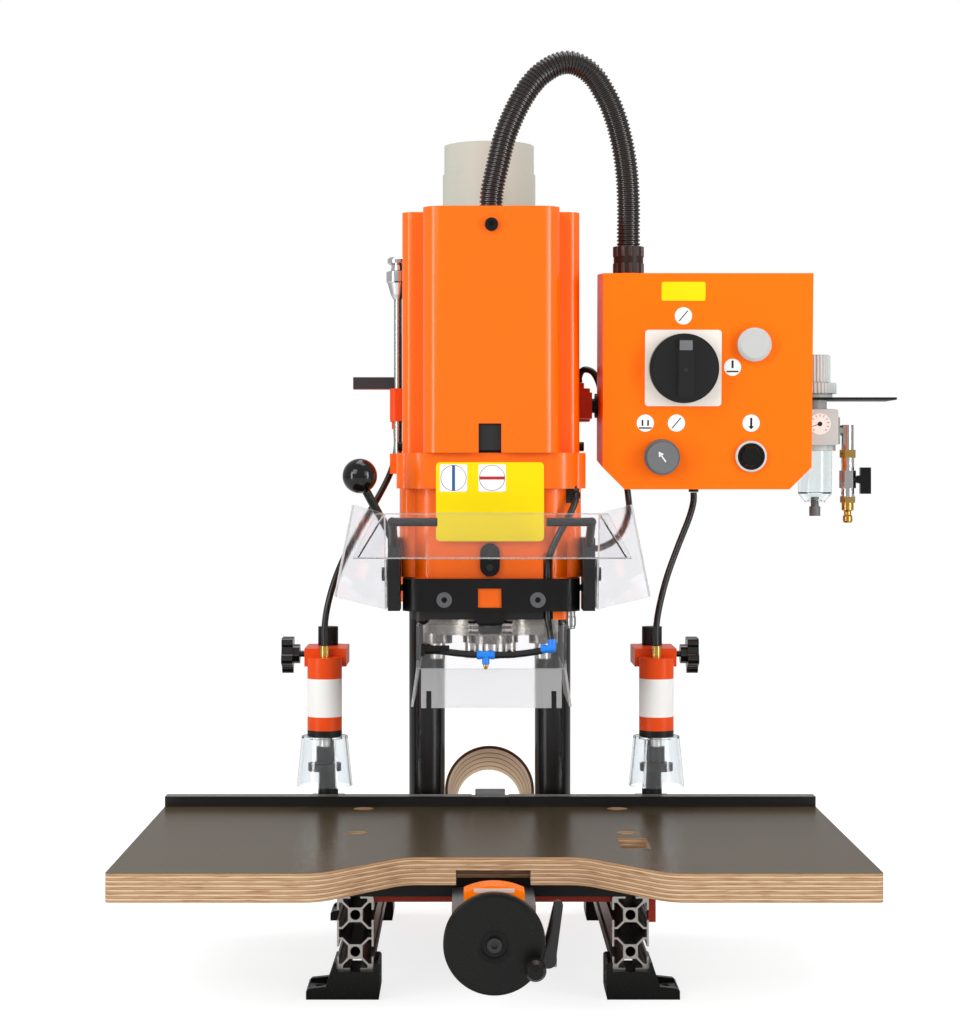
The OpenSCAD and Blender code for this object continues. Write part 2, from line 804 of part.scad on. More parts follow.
module head_plan(w, front, rear, r) {
    translate([0, (front + rear) / 2])
        rrect(w, rear - front, r);
}
module head_casting() {
    front = -50;
    rear = 112;
    rib_x = head_w / 2 - 12;
    color(orange)
        difference() {
            union() {
                translate([0, 0, head_z])
                    linear_extrude(band_z[1] + 1 - head_z)
                        head_plan(band_w - 2 * (band_wall + gap), band_front + band_wall + gap, rear, 14);
                translate([band_notch[0] + gap, band_front + 3, band_z[0] + 4 + gap])
                    cube([band_notch[1] - band_notch[0] - 2 * gap, 16, 23 - 2 * gap]);
                translate([0, 0, band_z[1] + 1])
                    linear_extrude(collar_z - band_z[1] - 1)
                        union() {
                            head_plan(head_w - 22, front - 6, rear, 34);
                            head_plan(head_w, front + 22, rear, 10);
                            for (s = [-1, 1])
                                translate([s * rib_x, front + 20])
                                    circle(12);
                        }
                translate([0, 0, collar_z])
                    linear_extrude(head_top - collar_z)
                        union() {
                            head_plan(collar_w - 20, front - 12, rear - 3, 30);
                            head_plan(collar_w, front + 14, rear - 3, 16);
                        }
                for (s = [-1, 1])
                    translate([s * column_x, column_y, head_z + 10])
                        cylinder(h = head_top - head_z - 10, r = bush_r + 7);
                translate([-column_x, rear - 10, head_z + 10])
                    cube([column_spacing, column_y - rear + 30, head_top - head_z - 10]);
                translate([stop_rod[0] - 9, stop_rod[1] - 30, head_top - 25])
                    cube([24, 40, 25]);
                translate([-22, column_y, head_top - 36])
                    cube([44, pipe_y - column_y - 40, 24]);
                rod([head_w / 2 - 4, 24, 480], [116, 24, 480], fitting_r);
                rod([99, -38, 545], [99, -46, 545], fitting_r);
                translate([0, pipe_y, head_top - 36])
                    cylinder(h = 24, r = sleeve_d / 2 + 7);
            }
            for (s = [-1, 1])
                translate([s * column_x, column_y, head_z])
                    cylinder(h = head_top - head_z + 1, r = bush_r + 0.02);
            translate([0, pipe_y, head_top - 40])
                cylinder(h = 40, r = sleeve_d / 2 + 0.02, $fn = 96);
            translate([0, drill_y, head_z - 1])
                cylinder(h = 22, r = hub_r + 2 * run, $fn = 96);
            translate([lock_at[0], lock_at[1], head_z - 1])
                cylinder(h = 16, r = 11);
            translate([lock_at[0], lock_at[1], head_z])
                cylinder(h = 31, r = 4 + run);
            translate([0, drill_y, head_z])
                cylinder(h = head_top - head_z + 1, r = 10 + run);
            // Groove that takes the blow-off hose down behind the band
            translate([hose_x - 5.5, band_front, head_z - 1])
                cube([11, 20, 78]);
            // Weight saved between the walls
            difference() {
                translate([-70, -40, head_z + 34])
                    cube([140, 130, collar_z - head_z - 44]);
                translate([0, drill_y, head_z])
                    cylinder(h = head_top - head_z, r = 26);
            }
        }
}
module column_bushes() {
    color("#B8904A")
        for (s = [-1, 1], z = [head_z + 12, head_top - 42])
            translate([s * column_x, column_y, z])
                difference() {
                    cylinder(h = 40, r = bush_r);
                    translate([0, 0, -1])
                        cylinder(h = 42, r = column_r + run);
                }
}

// Black band round the foot of the head, with its two screws
module front_band() {
    color(black)
        difference() {
            translate([0, 0, band_z[0]])
                linear_extrude(band_z[1] - band_z[0])
                    difference() {
                        head_plan(band_w, band_front, 120, 22);
                        head_plan(band_w - 2 * band_wall, band_front + band_wall, 140, 14);
                        translate([-band_w / 2 - 1, hinge_y + 12])
                            square([band_w + 2, 200]);
                    }
            translate([band_notch[0], band_front - 1, band_z[0] + 4])
                cube([band_notch[1] - band_notch[0], band_wall + 2, 23]);
            for (x = band_screws)
                translate([x, band_front + 6, band_screw_z])
                    rotate([90, 0, 0])
                        cylinder(h = 10, r = 9.2);
            rod([-band_w, hinge_y, hinge_z], [band_w, hinge_y, hinge_z], pin_r + run);
        }
    color(black)
        translate([band_notch[0] - 2, band_front + 2, band_z[0] - 14])
            cube([band_notch[1] - band_notch[0] + 4, band_wall - 2, 16]);
    color(steel)
        for (x = band_screws)
            translate([x, band_front + 6, band_screw_z])
                rotate([90, 0, 0])
                    cap_screw(8, 18, 8, 4);
}

module motor() {
    r = 66;
    z1 = cover_z1 - 30;
    fins = 16;
    color(grey)
        difference() {
            union() {
                translate([0, drill_y - 8, head_top])
                    cylinder(h = 12, r = r + 6);
                translate([0, drill_y - 8, head_top])
                    cylinder(h = z1 - head_top, r = r);
                translate([0, drill_y - 8, z1])
                    cylinder(h = 10, r1 = r, r2 = r - 8);
                for (k = [0 : fins - 1])
                    translate([0, drill_y - 8, head_top + 30])
                        rotate(k * 360 / fins)
                            translate([r - 1, -1.5, 0])
                                cube([6, 3, z1 - head_top - 60]);
            }
            translate([0, drill_y, head_top - 1])
                cylinder(h = 42, r = 8 + run);
        }
}

module cover_plan(wall) {
    head_plan(bump_w - 2 * wall, -73 + wall, 60, 22 - wall);
    translate([0, wall > 0 ? 10 : 0])
        head_plan(cover_w - 2 * wall, -6.5 + wall - (wall > 0 ? 10 : 0), 118, 14 - wall);
}
module head_cover() {
    color(orange)
        difference() {
            translate([0, 0, head_top])
                linear_extrude(cover_h)
                    cover_plan(0);
            translate([0, 0, head_top - 1])
                linear_extrude(cover_h + 1 - cover_t)
                    cover_plan(cover_t);
            translate([-cover_w / 2 + cover_t, 100, head_top - 1])
                cube([cover_w - 2 * cover_t, 40, cover_h + 1 - cover_t]);
            translate([-15, -80, head_top - 1])
                cube([26.5, 20, 35]);
            translate([0, 20, cover_z1 - 10])
                cylinder(h = 20, r = conduit_r + 1);
            translate([0, -60, cover_z1 - 22])
                rotate([90, 0, 0])
                    cylinder(h = 20, r = 4.1);
        }
    color(black)
        translate([0, -73, cover_z1 - 22])
            rotate([90, 0, 0])
                cap_screw(8, 15.5, 6, 12);
}

// Knob of the stroke stop, screwed on its rod
module depth_knob() {
    color(steel)
        translate([stop_rod[0], stop_rod[1], 800 - 12])
            difference() {
                rotate_extrude()
                    polygon([
                        [0, 0], [6, 0], [9, 6], [13, 20], [14.5, 22], [14.5, 34], [9, 36], [8, 42],
                        [13, 45], [13, 50], [11, 52], [0, 52]
                    ]);
                translate([0, 0, -1])
                    cylinder(h = 13 + gap, r = 5 + run);
            }
}

module extraction_pipe() {
    wall = 3;
    color("#C8C4B8")
        translate([0, pipe_y, 0])
            rotate_extrude($fn = 96)
                polygon([
                    [sleeve_d / 2 - 2 * wall, pipe_z[0]], [sleeve_d / 2, pipe_z[0]],
                    [sleeve_d / 2, pipe_z[1]], [pipe_d / 2, pipe_z[1]], [pipe_d / 2, pipe_z[2]],
                    [pipe_d / 2 - wall, pipe_z[2]], [pipe_d / 2 - wall, pipe_z[1] - 10],
                    [sleeve_d / 2 - 2 * wall, pipe_z[1] - 30]
                ]);
}

// Ribbed chip duct: its mouth behind the fence, falling to the rear
duct_l = 146;
duct_tilt = 14;
module duct_place() {
    translate([0, 190, 166])
        rotate([-90 - duct_tilt, 0, 0])
            children();
}
module suction_duct() {
    ribs = 20;
    pitch = duct_l / ribs;
    r0 = 57;
    r1 = 46;
    wall = 2;
    function at(k, extra) = [r0 + (r1 - r0) * k / ribs + extra, k * pitch];
    color("#C9A987")
        duct_place()
            rotate_extrude($fn = 96)
                polygon(concat(
                    [for (k = [0 : ribs - 1]) each [at(k, -wall), at(k + 0.5, -wall - 1.2)]],
                    [at(ribs, -wall), at(ribs, 0)],
                    [for (k = [ribs - 1 : -1 : 0]) each [at(k + 0.5, -1.6), at(k, 0)]]));
}

// Route of the conduit from the cover to the box, and of the hose behind it
conduit_r = 14.2;
conduit_rib = 1.9;
conduit_pitch = 4.6;
conduit_end = [168, 57, 826];
conduit_route = [
    [1, 20, 878], [1, 20, 905], [8, 21, 940], [20, 24, 985], [42, 28, 1030], [66, 33, 1057],
    [94, 38, 1068], [120, 43, 1057], [139, 47, 1031], [152, 50, 1002], [161, 53, 968],
    [166, 55, 935], [168, 56, 900], [168, 57, 866], [168, 57, 846], conduit_end
];
bundle_route = [
    [112, 136, 684.2], [112, 136, 692], [117, 131, 700], [128, 126, 697], [136, 124, 682], [141, 124, 655],
    [150, 126, 630], [162, 132, 602], [169, 134, 568], [172, 120, 543], [171, 92, 522], [162, 62, 502],
    [149, 38, 488], [132, 25, 480.5], [124, 24, 480], [116.4, 24, 480]
];
module conduit_and_hoses() {
    color(black)
        ribbed_hose(conduit_route, conduit_r, conduit_rib, 1, conduit_pitch, 8);
    color(black)
        sweep(spline(bundle_route, 3), hose_r, 8);
}

module gearbox() {
    color(steel)
        difference() {
            union() {
                translate([0, drill_y, ring_z0])
                    cylinder(h = ring_h, r = ring_d / 2, $fn = 96);
                translate([0, drill_y, ring_z1 - 0.01])
                    cylinder(h = 20, r = hub_r, $fn = 96);
                translate([0, drill_y, boss_z])
                    cylinder(h = 15, r = 26, $fn = 96);
                for (s = [-1, 1]) {
                    translate([s * plug_x, drill_y + plug_y, boss_z])
                        cylinder(h = 15, r = nose_r + 2);
                    translate([s * 2 * row_pitch, drill_y, boss_z])
                        cylinder(h = 15, r = ring_d / 2 - 2 * row_pitch - 0.5);
                }
            }
            for (s = [-1, 0, 1])
                translate([s * plug_x, drill_y + abs(s) * plug_y, plug_gear_z - 0.75])
                    cylinder(h = plug_gear_h + 1.5, r = plug_m * (plug_teeth / 2 + 1) + 0.8);
            for (s = [-1, 1]) {
                translate([s * row_pitch, drill_y, row_gear_z - 0.75])
                    cylinder(h = row_gear_h + 1.5, r = row_m * (idler_teeth / 2 + 1) + 0.8);
                translate([s * 2 * row_pitch, drill_y, row_gear_z - 0.75])
                    cylinder(h = row_gear_h + 1.5, r = row_m * (row_teeth / 2 + 1) + 0.6);
                translate([s * row_pitch, drill_y, row_gear_z + 1])
                    cylinder(h = 14, r = 5 + run);
                translate([s * plug_x, drill_y + plug_y, boss_z - 1])
                    cylinder(h = plug_gear_z - boss_z + 2, r = shaft_r + run);
                translate([s * 2 * row_pitch, drill_y, boss_z - 1])
                    cylinder(h = row_gear_z - boss_z + 2, r = shaft_r + run);
            }
            translate([0, drill_y, row_gear_z - 0.75])
                cylinder(h = row_gear_h + 1.5, r = row_m * (row_teeth / 2 + 1) + 0.8);
            translate([0, drill_y, boss_z - 1])
                cylinder(h = ring_h + 60, r = 8 + run);
        }
}
// Spindle with its nose and chuck bore below the gearbox
module nose(r, bore) {
    difference() {
        union() {
            translate([0, 0, nose_z])
                cylinder(h = boss_z - gap - nose_z, r = r);
            translate([0, 0, nose_z - 0.01])
                cylinder(h = 3, r1 = r - 2, r2 = r);
        }
        translate([0, 0, nose_z - 1])
            cylinder(h = 21, r = bore / 2);
        translate([0, 0, nose_z + 9])
            rotate([90, 0, 0])
                cylinder(h = r + 1, r = 2);
    }
}
module centre_spindle() {
    color(steel)
        translate([0, drill_y, 0]) {
            nose(nose_r + 1, 10);
            translate([0, 0, boss_z - 1])
                cylinder(h = head_top + 30 - boss_z, r = 8);
            translate([0, 0, plug_gear_z])
                gear(plug_m, plug_teeth, plug_gear_h, 0);
            translate([0, 0, row_gear_z])
                gear(row_m, row_teeth, row_gear_h, 0);
        }
}
module plug_spindle(s) {
    a = s > 0 ? atan2(plug_y, plug_x) : 180 - atan2(plug_y, plug_x);
    color(steel)
        translate([s * plug_x, drill_y + plug_y, 0]) {
            nose(nose_r - 0.5, 10);
            translate([0, 0, boss_z - 1])
                cylinder(h = plug_gear_z + plug_gear_h - boss_z + 1, r = shaft_r);
            translate([0, 0, plug_gear_z])
                gear(plug_m, plug_teeth, plug_gear_h, mesh_phase(a, plug_teeth, plug_teeth));
        }
}
module idler(s) {
    a = s > 0 ? 0 : 180;
    color(steel)
        translate([s * row_pitch, drill_y, row_gear_z]) {
            gear(row_m, idler_teeth, row_gear_h, mesh_phase(a, row_teeth, idler_teeth));
            cylinder(h = row_gear_h + 9, r = 5);
        }
}
module row_spindle(s) {
    a = s > 0 ? 0 : 180;
    idler_phase = mesh_phase(a, row_teeth, idler_teeth);
    color(steel)
        translate([s * 2 * row_pitch, drill_y, 0]) {
            nose(nose_r, 10);
            translate([0, 0, boss_z - 1])
                cylinder(h = row_gear_z + row_gear_h - boss_z + 1, r = shaft_r);
            translate([0, 0, row_gear_z])
                gear(row_m, row_teeth, row_gear_h,
                     180 + a - (idler_phase - a) * idler_teeth / row_teeth + 180 / row_teeth);
        }
}
module plug_spindle_left() { plug_spindle(-1); }
module plug_spindle_right() { plug_spindle(1); }
module idler_left() { idler(-1); }
module idler_right() { idler(1); }
module row_spindle_left() { row_spindle(-1); }
module row_spindle_right() { row_spindle(1); }

// Locking pin of the gearbox swivel, with its ball knob below the band
module swivel_lock() {
    color(black)
        translate(lock_at) {
            sphere(r = 8);
            cylinder(h = 28, r = 4);
        }
}

module chip_shroud() {
    w = 170;
    t = 3;
    z1 = 392.5;
    z0 = 297;
    flare_z = 342;
    flare = 8;
    front = -58;
    rear = 112;
    color(clear) {
        difference() {
            translate([-w / 2 - t, front, flare_z])
                cube([w + 2 * t, t, z1 - flare_z]);
            // Notch that lets the blow-off hose in behind the band
            translate([hose_x - 4.5, front - 1, z1 - 15])
                cube([13, t + 2, 16]);
        }
        at_sides() {
            translate([w / 2, front, flare_z])
                cube([t, rear - front, z1 - flare_z]);
            translate([w / 2, front + 60, z1 - 1])
                cube([t, rear - front - 60, head_z - z1 + 1]);
            // Lower side, flared outward
            translate([w / 2, front + 4, flare_z])
                rotate([0, -flare, 0])
                    translate([0, 0, z0 - flare_z])
                        cube([t, rear - front - 8, flare_z - z0 + 1]);
        }
        // Lower front, flared forward, with a slot at each end
        difference() {
            translate([-w / 2 + 3, front, flare_z])
                rotate([-flare, 0, 0])
                    translate([0, 0, z0 - flare_z])
                        cube([w - 6, t, flare_z - z0 + 1]);
            for (s = [-1, 1])
                translate([s * (w / 2 - 12) - 3, front - 20, z0 - 10])
                    cube([6, 60, 30]);
        }
    }
}

blow_route = [
    [-78, -66, 366], [-60, -67, 364], [-34, -68, 361], [-6.6, -68, 359.5], [24, -68, 360], [50, -67, 363],
    [69, -66, 367]
];
feed_route = [
    [70.5, -65, 372], [69, -62, 382], [67, -55.5, 394], [66, -53, 404], [66, -53, 430], [66, -53.4, 452],
    [67, -56, 468], [70, -62.5, 480], [77, -64, 496], [87, -61.5, 514], [95, -58.5, 530], [98.6, -54, 541],
    [99, -50, 545], [99, -46.8, 545]
];
module blow_off_line() {
    tee_x = -6.6;
    color(black) {
        sweep(spline(blow_route, 2), hose_r, 8);
        sweep(spline(feed_route, 2), hose_r, 8);
        translate([-84, -71, 360])
            cube([9, 13, 12]);
    }
    color("#0F7FE0") {
        translate([tee_x - 10.5, -68, 359.5])
            rotate([0, 90, 0])
                cylinder(h = 21, r = 5.2);
        translate([tee_x, -68, 350])
            cylinder(h = 9, r = 4.4);
        translate([70, -66, 368])
            sphere(r = 7.5);
    }
    color("#B8904A")
        translate([tee_x, -68, 344])
            cylinder(h = 6.2, r1 = 2, r2 = 2.8);
}

// Flat sheet between four points, its thickness laid on by the vector v
module sheet(p, v) {
    polyhedron(
        points = concat(p, [for (q = p) q + v]),
        faces = [
            [0, 2, 1], [0, 3, 2], [4, 5, 6], [4, 6, 7], [0, 1, 5], [0, 5, 4],
            [1, 2, 6], [1, 6, 5], [2, 3, 7], [2, 7, 6], [3, 0, 4], [3, 4, 7]
        ]);
}
module guard_visor() {
    half = visor_w / 2;
    fold_x = bracket_x + bracket_w + gap + visor_t;
    // Right side plate, flared forward from its fold beside the bracket, and its lug on the bracket
    plate = [[half, -190, 536.6], [half + 20, -190, 434.5], [fold_x, -91.6, 414.5], [fold_x, -129.6, 525.5]];
    lug = [[fold_x, -112.5, 472], [fold_x, -93, 415], [fold_x, -46, 415], [fold_x, -46, 472]];
    // Front panel between the side plates, leaning back to its top
    top = [half - 22.7, -130.3, 525.5];
    low = [half + 0.9, -164.3, 476.7];
    color(clear)
        difference() {
            union() {
                sheet([[-low[0], low[1], low[2]], low, top, [-top[0], top[1], top[2]]], visor_t * [0, 0.8205, -0.5717]);
                at_sides() {
                    sheet(plate, visor_t * [-0.8577, 0.4864, -0.1663]);
                    sheet(lug, [-visor_t, 0, 0]);
                }
            }
            rod([-200, guard_bolt[0], guard_bolt[1]], [200, guard_bolt[0], guard_bolt[1]], 4.4);
        }
}
module guard_frame() {
    bar_x = bracket_x + bracket_w / 2;
    lug_x = bracket_x + bracket_w + gap + visor_t;
    bend = [bar_x, -127, 515];
    color(black)
        at_sides() {
            translate([bracket_x, hinge_y - 44, 411])
                cube([bracket_w, 56, 84]);
            rod([bar_x, hinge_y - 40, 488], bend, 5);
            rod(bend, [62, bend[1], bend[2]], 5);
            translate(bend)
                sphere(r = 5.4);
            rod([band_w / 2 - band_wall + 0.5, hinge_y, hinge_z], [bracket_x + 4, hinge_y, hinge_z], pin_r);
            rod([bracket_x + bracket_w - 1, guard_bolt[0], guard_bolt[1]], [lug_x + 1, guard_bolt[0], guard_bolt[1]], 4);
            rod([lug_x + gap, guard_bolt[0], guard_bolt[1]], [lug_x + 4.8, guard_bolt[0], guard_bolt[1]], 8);
        }
    color(black) {
        rod([-bar_x, -58, 490], [-150, -90, 560], 5);
        translate([-152, -93, 568])
            sphere(r = 20);
    }
}

module clamp_body(s) {
    color(red_orange)
        scale_x(s)
            difference() {
                union() {
                    translate([post_x - 25.5, cylinder_y + 10, clamp_z[0]])
                        cube([51, post_y - cylinder_y + 10, clamp_z[1] - clamp_z[0]]);
                    translate([post_x, post_y + 2, clamp_z[0]])
                        cylinder(h = clamp_z[1] - clamp_z[0], r = 25);
                    translate([post_x, cylinder_y, cylinder_z[0]])
                        cylinder(h = cylinder_z[1] - cylinder_z[0], r = cylinder_d / 2);
                }
                translate([post_x, post_y, clamp_z[0] - 1])
                    cylinder(h = 40, r = post_d / 2 + 0.08);
                translate([post_x, cylinder_y, cylinder_z[0] + 8])
                    cylinder(h = 70, r = cylinder_d / 2 - 4);
                translate([post_x, cylinder_y, cylinder_z[0] - 1])
                    cylinder(h = 20, r = 6.5 + run);
                translate([post_x, post_y, 346])
                    rotate([0, 90, 0])
                        cylinder(h = 60, r = 4 + run);
            }
    color("#B8904A")
        translate([s * post_x, cylinder_y, cylinder_z[1]])
            cylinder(h = 14, r = 6);
}
module clamp_left() { clamp_body(-1); }
module clamp_right() { clamp_body(1); }

module clamp_plunger(s) {
    color(steel)
        translate([s * post_x, cylinder_y, 0]) {
            translate([0, 0, plunger_z + 9])
                cylinder(h = 312 - plunger_z - 9, r = 6.5);
            translate([0, 0, 302])
                cylinder(h = 10, r = cylinder_d / 2 - 4 - run);
        }
    color(black)
        translate([s * post_x, cylinder_y, plunger_z]) {
            cylinder(h = 9, r = 20);
            translate([0, 0, 9])
                cylinder(h = 20, r = 10);
        }
}
module clamp_plunger_left() { clamp_plunger(-1); }
module clamp_plunger_right() { clamp_plunger(1); }

module clamp_cup(s) {
    color(clear)
        translate([s * post_x, cylinder_y, 0])
            rotate_extrude($fn = 96)
                polygon([
                    [cylinder_d / 2 - 3, cylinder_z[0]], [cylinder_d / 2 - 3, cylinder_z[0] - 2.5],
                    [25.5, cylinder_z[0] - 2.5], [31.5, 192], [34, 192], [28, cylinder_z[0]]
                ]);
}
module clamp_cup_left() { clamp_cup(-1); }
module clamp_cup_right() { clamp_cup(1); }

module star_knob(s) {
    lobes = 5;
    color(black)
        scale_x(s)
            translate([post_x + post_d / 2 + 0.4, post_y, 346])
                rotate([0, 90, 0]) {
                    cylinder(h = 34, r = 4);
                    translate([0, 0, 22])
                        cylinder(h = 10, r = 12);
                    translate([0, 0, 30])
                        linear_extrude(14) {
                            circle(18);
                            for (k = [0 : lobes - 1])
                                rotate(k * 360 / lobes)
                                    translate([17, 0])
                                        circle(7);
                        }
                }
}
module star_knob_left() { star_knob(-1); }
module star_knob_right() { star_knob(1); }

module box_plan(inset) {
    w = box_w / 2 - inset;
    h = box_h / 2 - inset;
    c = box_chamfer - inset * 0.41;
    polygon([[-w, h], [w, h], [w, -h + c], [w - c, -h], [-w + c, -h], [-w, -h + c]]);
}
module control_box() {
    color(orange)
        difference() {
            translate(box_at)
                rotate([90 + box_tilt, 0, 0])
                    translate([0, 0, -box_d])
                        difference() {
                            linear_extrude(box_d)
                                box_plan(0);
                            translate([0, 0, box_wall])
                                linear_extrude(box_d - 2 * box_wall)
                                    box_plan(box_wall);
                        }
            rod([box_at[0] - box_w / 2 - 5, arm_y, arm_z], [box_at[0] - box_w / 2 + 45, arm_y, arm_z], arm_r + 0.02);
            on_box(-29.3, 16.1)
                cylinder(h = 12, r = 8 + run, center = true);
            on_box(-54.2, -89.1)
                cylinder(h = 12, r = 6 + run, center = true);
            on_box(51.8, -88.6)
                cylinder(h = 12, r = 11.5, center = true);
        }
    color(black)
        translate([conduit_end[0], conduit_end[1], conduit_end[2] - 18])
            difference() {
                cylinder(h = 38, r = 18);
                translate([0, 0, 16])
                    cylinder(h = 40, r = conduit_r + gap);
            }
    color(black)
        rod([248, 63, 568], [248, 63, 548], fitting_r);
    color(steel)
        on_box(-29.3, 16.1)
            difference() {
                linear_extrude(3)
                    rrect(90, 90, 4);
                cylinder(h = 12, r = 8 + run, center = true);
            }
    color(black)
        on_box(51.8, -88.6)
            difference() {
                cylinder(h = 4, r = 18.5);
                translate([0, 0, -1])
                    cylinder(h = 6, r = 11.5);
            }
}
module main_switch() {
    color(black)
        on_box(-29.3, 16.1)
            translate([0, 0, 3 + gap]) {
                cylinder(h = 14, r = switch_d / 2);
                cylinder(h = 18, r = switch_d / 2 - 4);
                translate([-8.5, -34, 0])
                    cube([17, 68, 34]);
                translate([0, 0, -14])
                    cylinder(h = 15, r = 8);
            }
}
module selector() {
    color(grey)
        on_box(-54.2, -89.1)
            translate([0, 0, gap]) {
                cylinder(h = 12, r = 21);
                cylinder(h = 20, r = 18.5);
                translate([0, 0, -12])
                    cylinder(h = 13, r = 6);
            }
}
module start_button() {
    color(black)
        on_box(51.8, -88.6)
            translate([0, 0, -10])
                cylinder(h = 18, r = 11.5 - gap);
}
module signal_lamp() {
    color("#D8DADB")
        on_box(54.2, 43.9) {
            cylinder(h = 9, r = 20);
            translate([0, 0, 9])
                cylinder(h = 3, r1 = 20, r2 = 16);
        }
}

// Filter regulator on its plate, with gauge, elbow and shut-off valve
module air_unit() {
    z0 = 599;
    color(grey)
        translate([air_at[0], air_at[1], 0])
            difference() {
                union() {
                    translate([0, 0, z0])
                        cylinder(h = 52, r = 26);
                    translate([-28, -24, z0 + 8])
                        cube([56, 48, 34]);
                    translate([0, 0, z0 + 50])
                        cylinder(h = 18 - 4, r = 15);
                    translate([0, 0, 665])
                        cylinder(h = 18, r = 22);
                    translate([0, -20, z0 + 22])
                        rotate([90, 0, 0])
                            cylinder(h = 14, r = 14);
                }
                translate([0, 0, 670])
                    cylinder(h = 20, r = 6 + run);
                translate([0, 0, z0 - 1])
                    cylinder(h = 10, r = 20);
            }
    color(steel)
        difference() {
            union() {
                rod([air_at[0] + 20, valve_at[1] + 8, 624], [valve_at[0], valve_at[1], 624], 6.5);
                translate([valve_at[0], valve_at[1], 599])
                    cylinder(h = 32, r = 7.5);
                translate([valve_at[0], valve_at[1], 541])
                    cylinder(h = 50, r = 8.2);
                translate([valve_at[0], valve_at[1], valve_at[2] - 11])
                    cylinder(h = 22, r = 10.5, $fn = 6);
            }
            translate(valve_at)
                rotate([0, 90, 0])
                    cylinder(h = 20, r = 4 + run);
        }
    color("#B8904A")
        translate([valve_at[0], valve_at[1], 0]) {
            translate([0, 0, 590])
                cylinder(h = 10, r = 10, $fn = 6);
            translate([0, 0, 534])
                cylinder(h = 8, r = 9.5, $fn = 6);
            translate([0, 0, 509])
                rotate_extrude()
                    polygon([[2.5, 0], [5, 0], [6, 2], [6, 8], [4.5, 10], [4.5, 14], [7.5, 16], [7.5, 26], [2.5, 26]]);
        }
}
module filter_bowl() {
    color(clear)
        translate([air_at[0], air_at[1], 0])
            rotate_extrude()
                polygon([[5 + run, 534], [12, 534], [21, 545], [21.5, 599 - gap], [19, 599 - gap], [18.5, 547], [10, 538], [5 + run, 538]]);
}
module regulator_knob() {
    color(grey)
        translate([air_at[0], air_at[1], 683 + gap]) {
            cylinder(h = 36, r = 17.5);
            translate([0, 0, -12])
                cylinder(h = 13, r = 6);
        }
}
module drain_knob() {
    color(steel)
        translate([air_at[0], air_at[1], 517]) {
            cylinder(h = 12, r = 7);
            translate([0, 0, 11])
                cylinder(h = 13, r = 5);
        }
}
module valve_lever() {
    color(black)
        translate(valve_at) {
            rod([5, 0, 0], [18, 0, 0], 4);
            translate([12, -6, -5])
                cube([6, 12, 10]);
            translate([15.5, -5, -18])
                cube([13, 10, 33]);
        }
}

hose_left = [
    [-201.5, 50, 361.3], [-201.5, 50, 385], [-198, 52, 410], [-190, 60, 440], [-178, 74, 470],
    [-160, 98, 505], [-140, 128, 540], [-125, 155, 572], [-118, 165, 600], [-118, 166, 626.2]
];
hose_right = [
    [201.5, 50, 361.3], [201.5, 50, 385], [206, 52, 412], [215, 56, 445], [228, 60, 480], [242, 62, 515],
    [247.6, 63, 535], [248, 63, 547.4]
];
module clamp_hoses() {
    color(black) {
        sweep(spline(hose_left, 2), hose_r, 8);
        sweep(spline(hose_right, 2), hose_r, 8);
    }
}

base_rails();
feet();
cross_members();
worktop();
table_screws();
fence();
clamp_posts();
screw_bracket();
position_counter();
lock_lever();
handwheel();
lead_screw();
crank_grip();
carriage();
columns();
column_yoke();
box_arm();
stroke_cylinder();
head_rods();
head_casting();
column_bushes();
front_band();
motor();
head_cover();
depth_knob();
extraction_pipe();
suction_duct();
conduit_and_hoses();
gearbox();
centre_spindle();
plug_spindle_left();
plug_spindle_right();
row_spindle_left();
row_spindle_right();
idler_left();
idler_right();
swivel_lock();
chip_shroud();
blow_off_line();
guard_visor();
guard_frame();
clamp_left();
clamp_right();
clamp_plunger_left();
clamp_plunger_right();
clamp_cup_left();
clamp_cup_right();
star_knob_left();
star_knob_right();
control_box();
main_switch();
selector();
start_button();
signal_lamp();
air_unit();
filter_bowl();
regulator_knob();
drain_knob();
valve_lever();
clamp_hoses();
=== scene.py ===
import math

import bmesh
import bpy
from mathutils import Matrix, Vector


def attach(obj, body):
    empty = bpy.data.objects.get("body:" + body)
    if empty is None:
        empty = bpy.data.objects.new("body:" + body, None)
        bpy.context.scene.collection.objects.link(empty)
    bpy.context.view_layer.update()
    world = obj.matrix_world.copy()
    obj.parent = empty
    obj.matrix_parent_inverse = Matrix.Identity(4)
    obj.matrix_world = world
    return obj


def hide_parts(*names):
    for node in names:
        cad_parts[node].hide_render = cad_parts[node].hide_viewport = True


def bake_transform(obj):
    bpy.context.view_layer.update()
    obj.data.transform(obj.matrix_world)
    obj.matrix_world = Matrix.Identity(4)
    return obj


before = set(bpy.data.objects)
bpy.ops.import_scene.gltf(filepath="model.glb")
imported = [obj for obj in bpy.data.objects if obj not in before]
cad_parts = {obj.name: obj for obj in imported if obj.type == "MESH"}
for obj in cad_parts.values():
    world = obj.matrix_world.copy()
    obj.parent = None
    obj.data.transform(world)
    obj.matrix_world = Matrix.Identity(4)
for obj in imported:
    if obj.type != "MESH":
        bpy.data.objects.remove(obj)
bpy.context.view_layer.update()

# Sizes below are millimetres unless a name ends in _m; pieces are scaled to metres when made.
MM = 0.001
scene = bpy.context.scene


# The photograph's camera stands level, 576 mm above the bench, with a long lens.
photo_lens = bpy.data.cameras.new("photo_camera")
camera = bpy.data.objects.new("photo_camera", photo_lens)
scene.collection.objects.link(camera)
scene.camera = camera
camera.location = (-0.025, -2.745, 0.576)
camera.rotation_euler = (math.radians(90), 0, 0)
photo_lens.sensor_width = 36
photo_lens.lens = 80.86
photo_lens.shift_x = 0.0098
photo_lens.shift_y = -0.042
photo_lens.clip_start = 0.1
photo_lens.clip_end = 30
scene.view_settings.view_transform = "Standard"


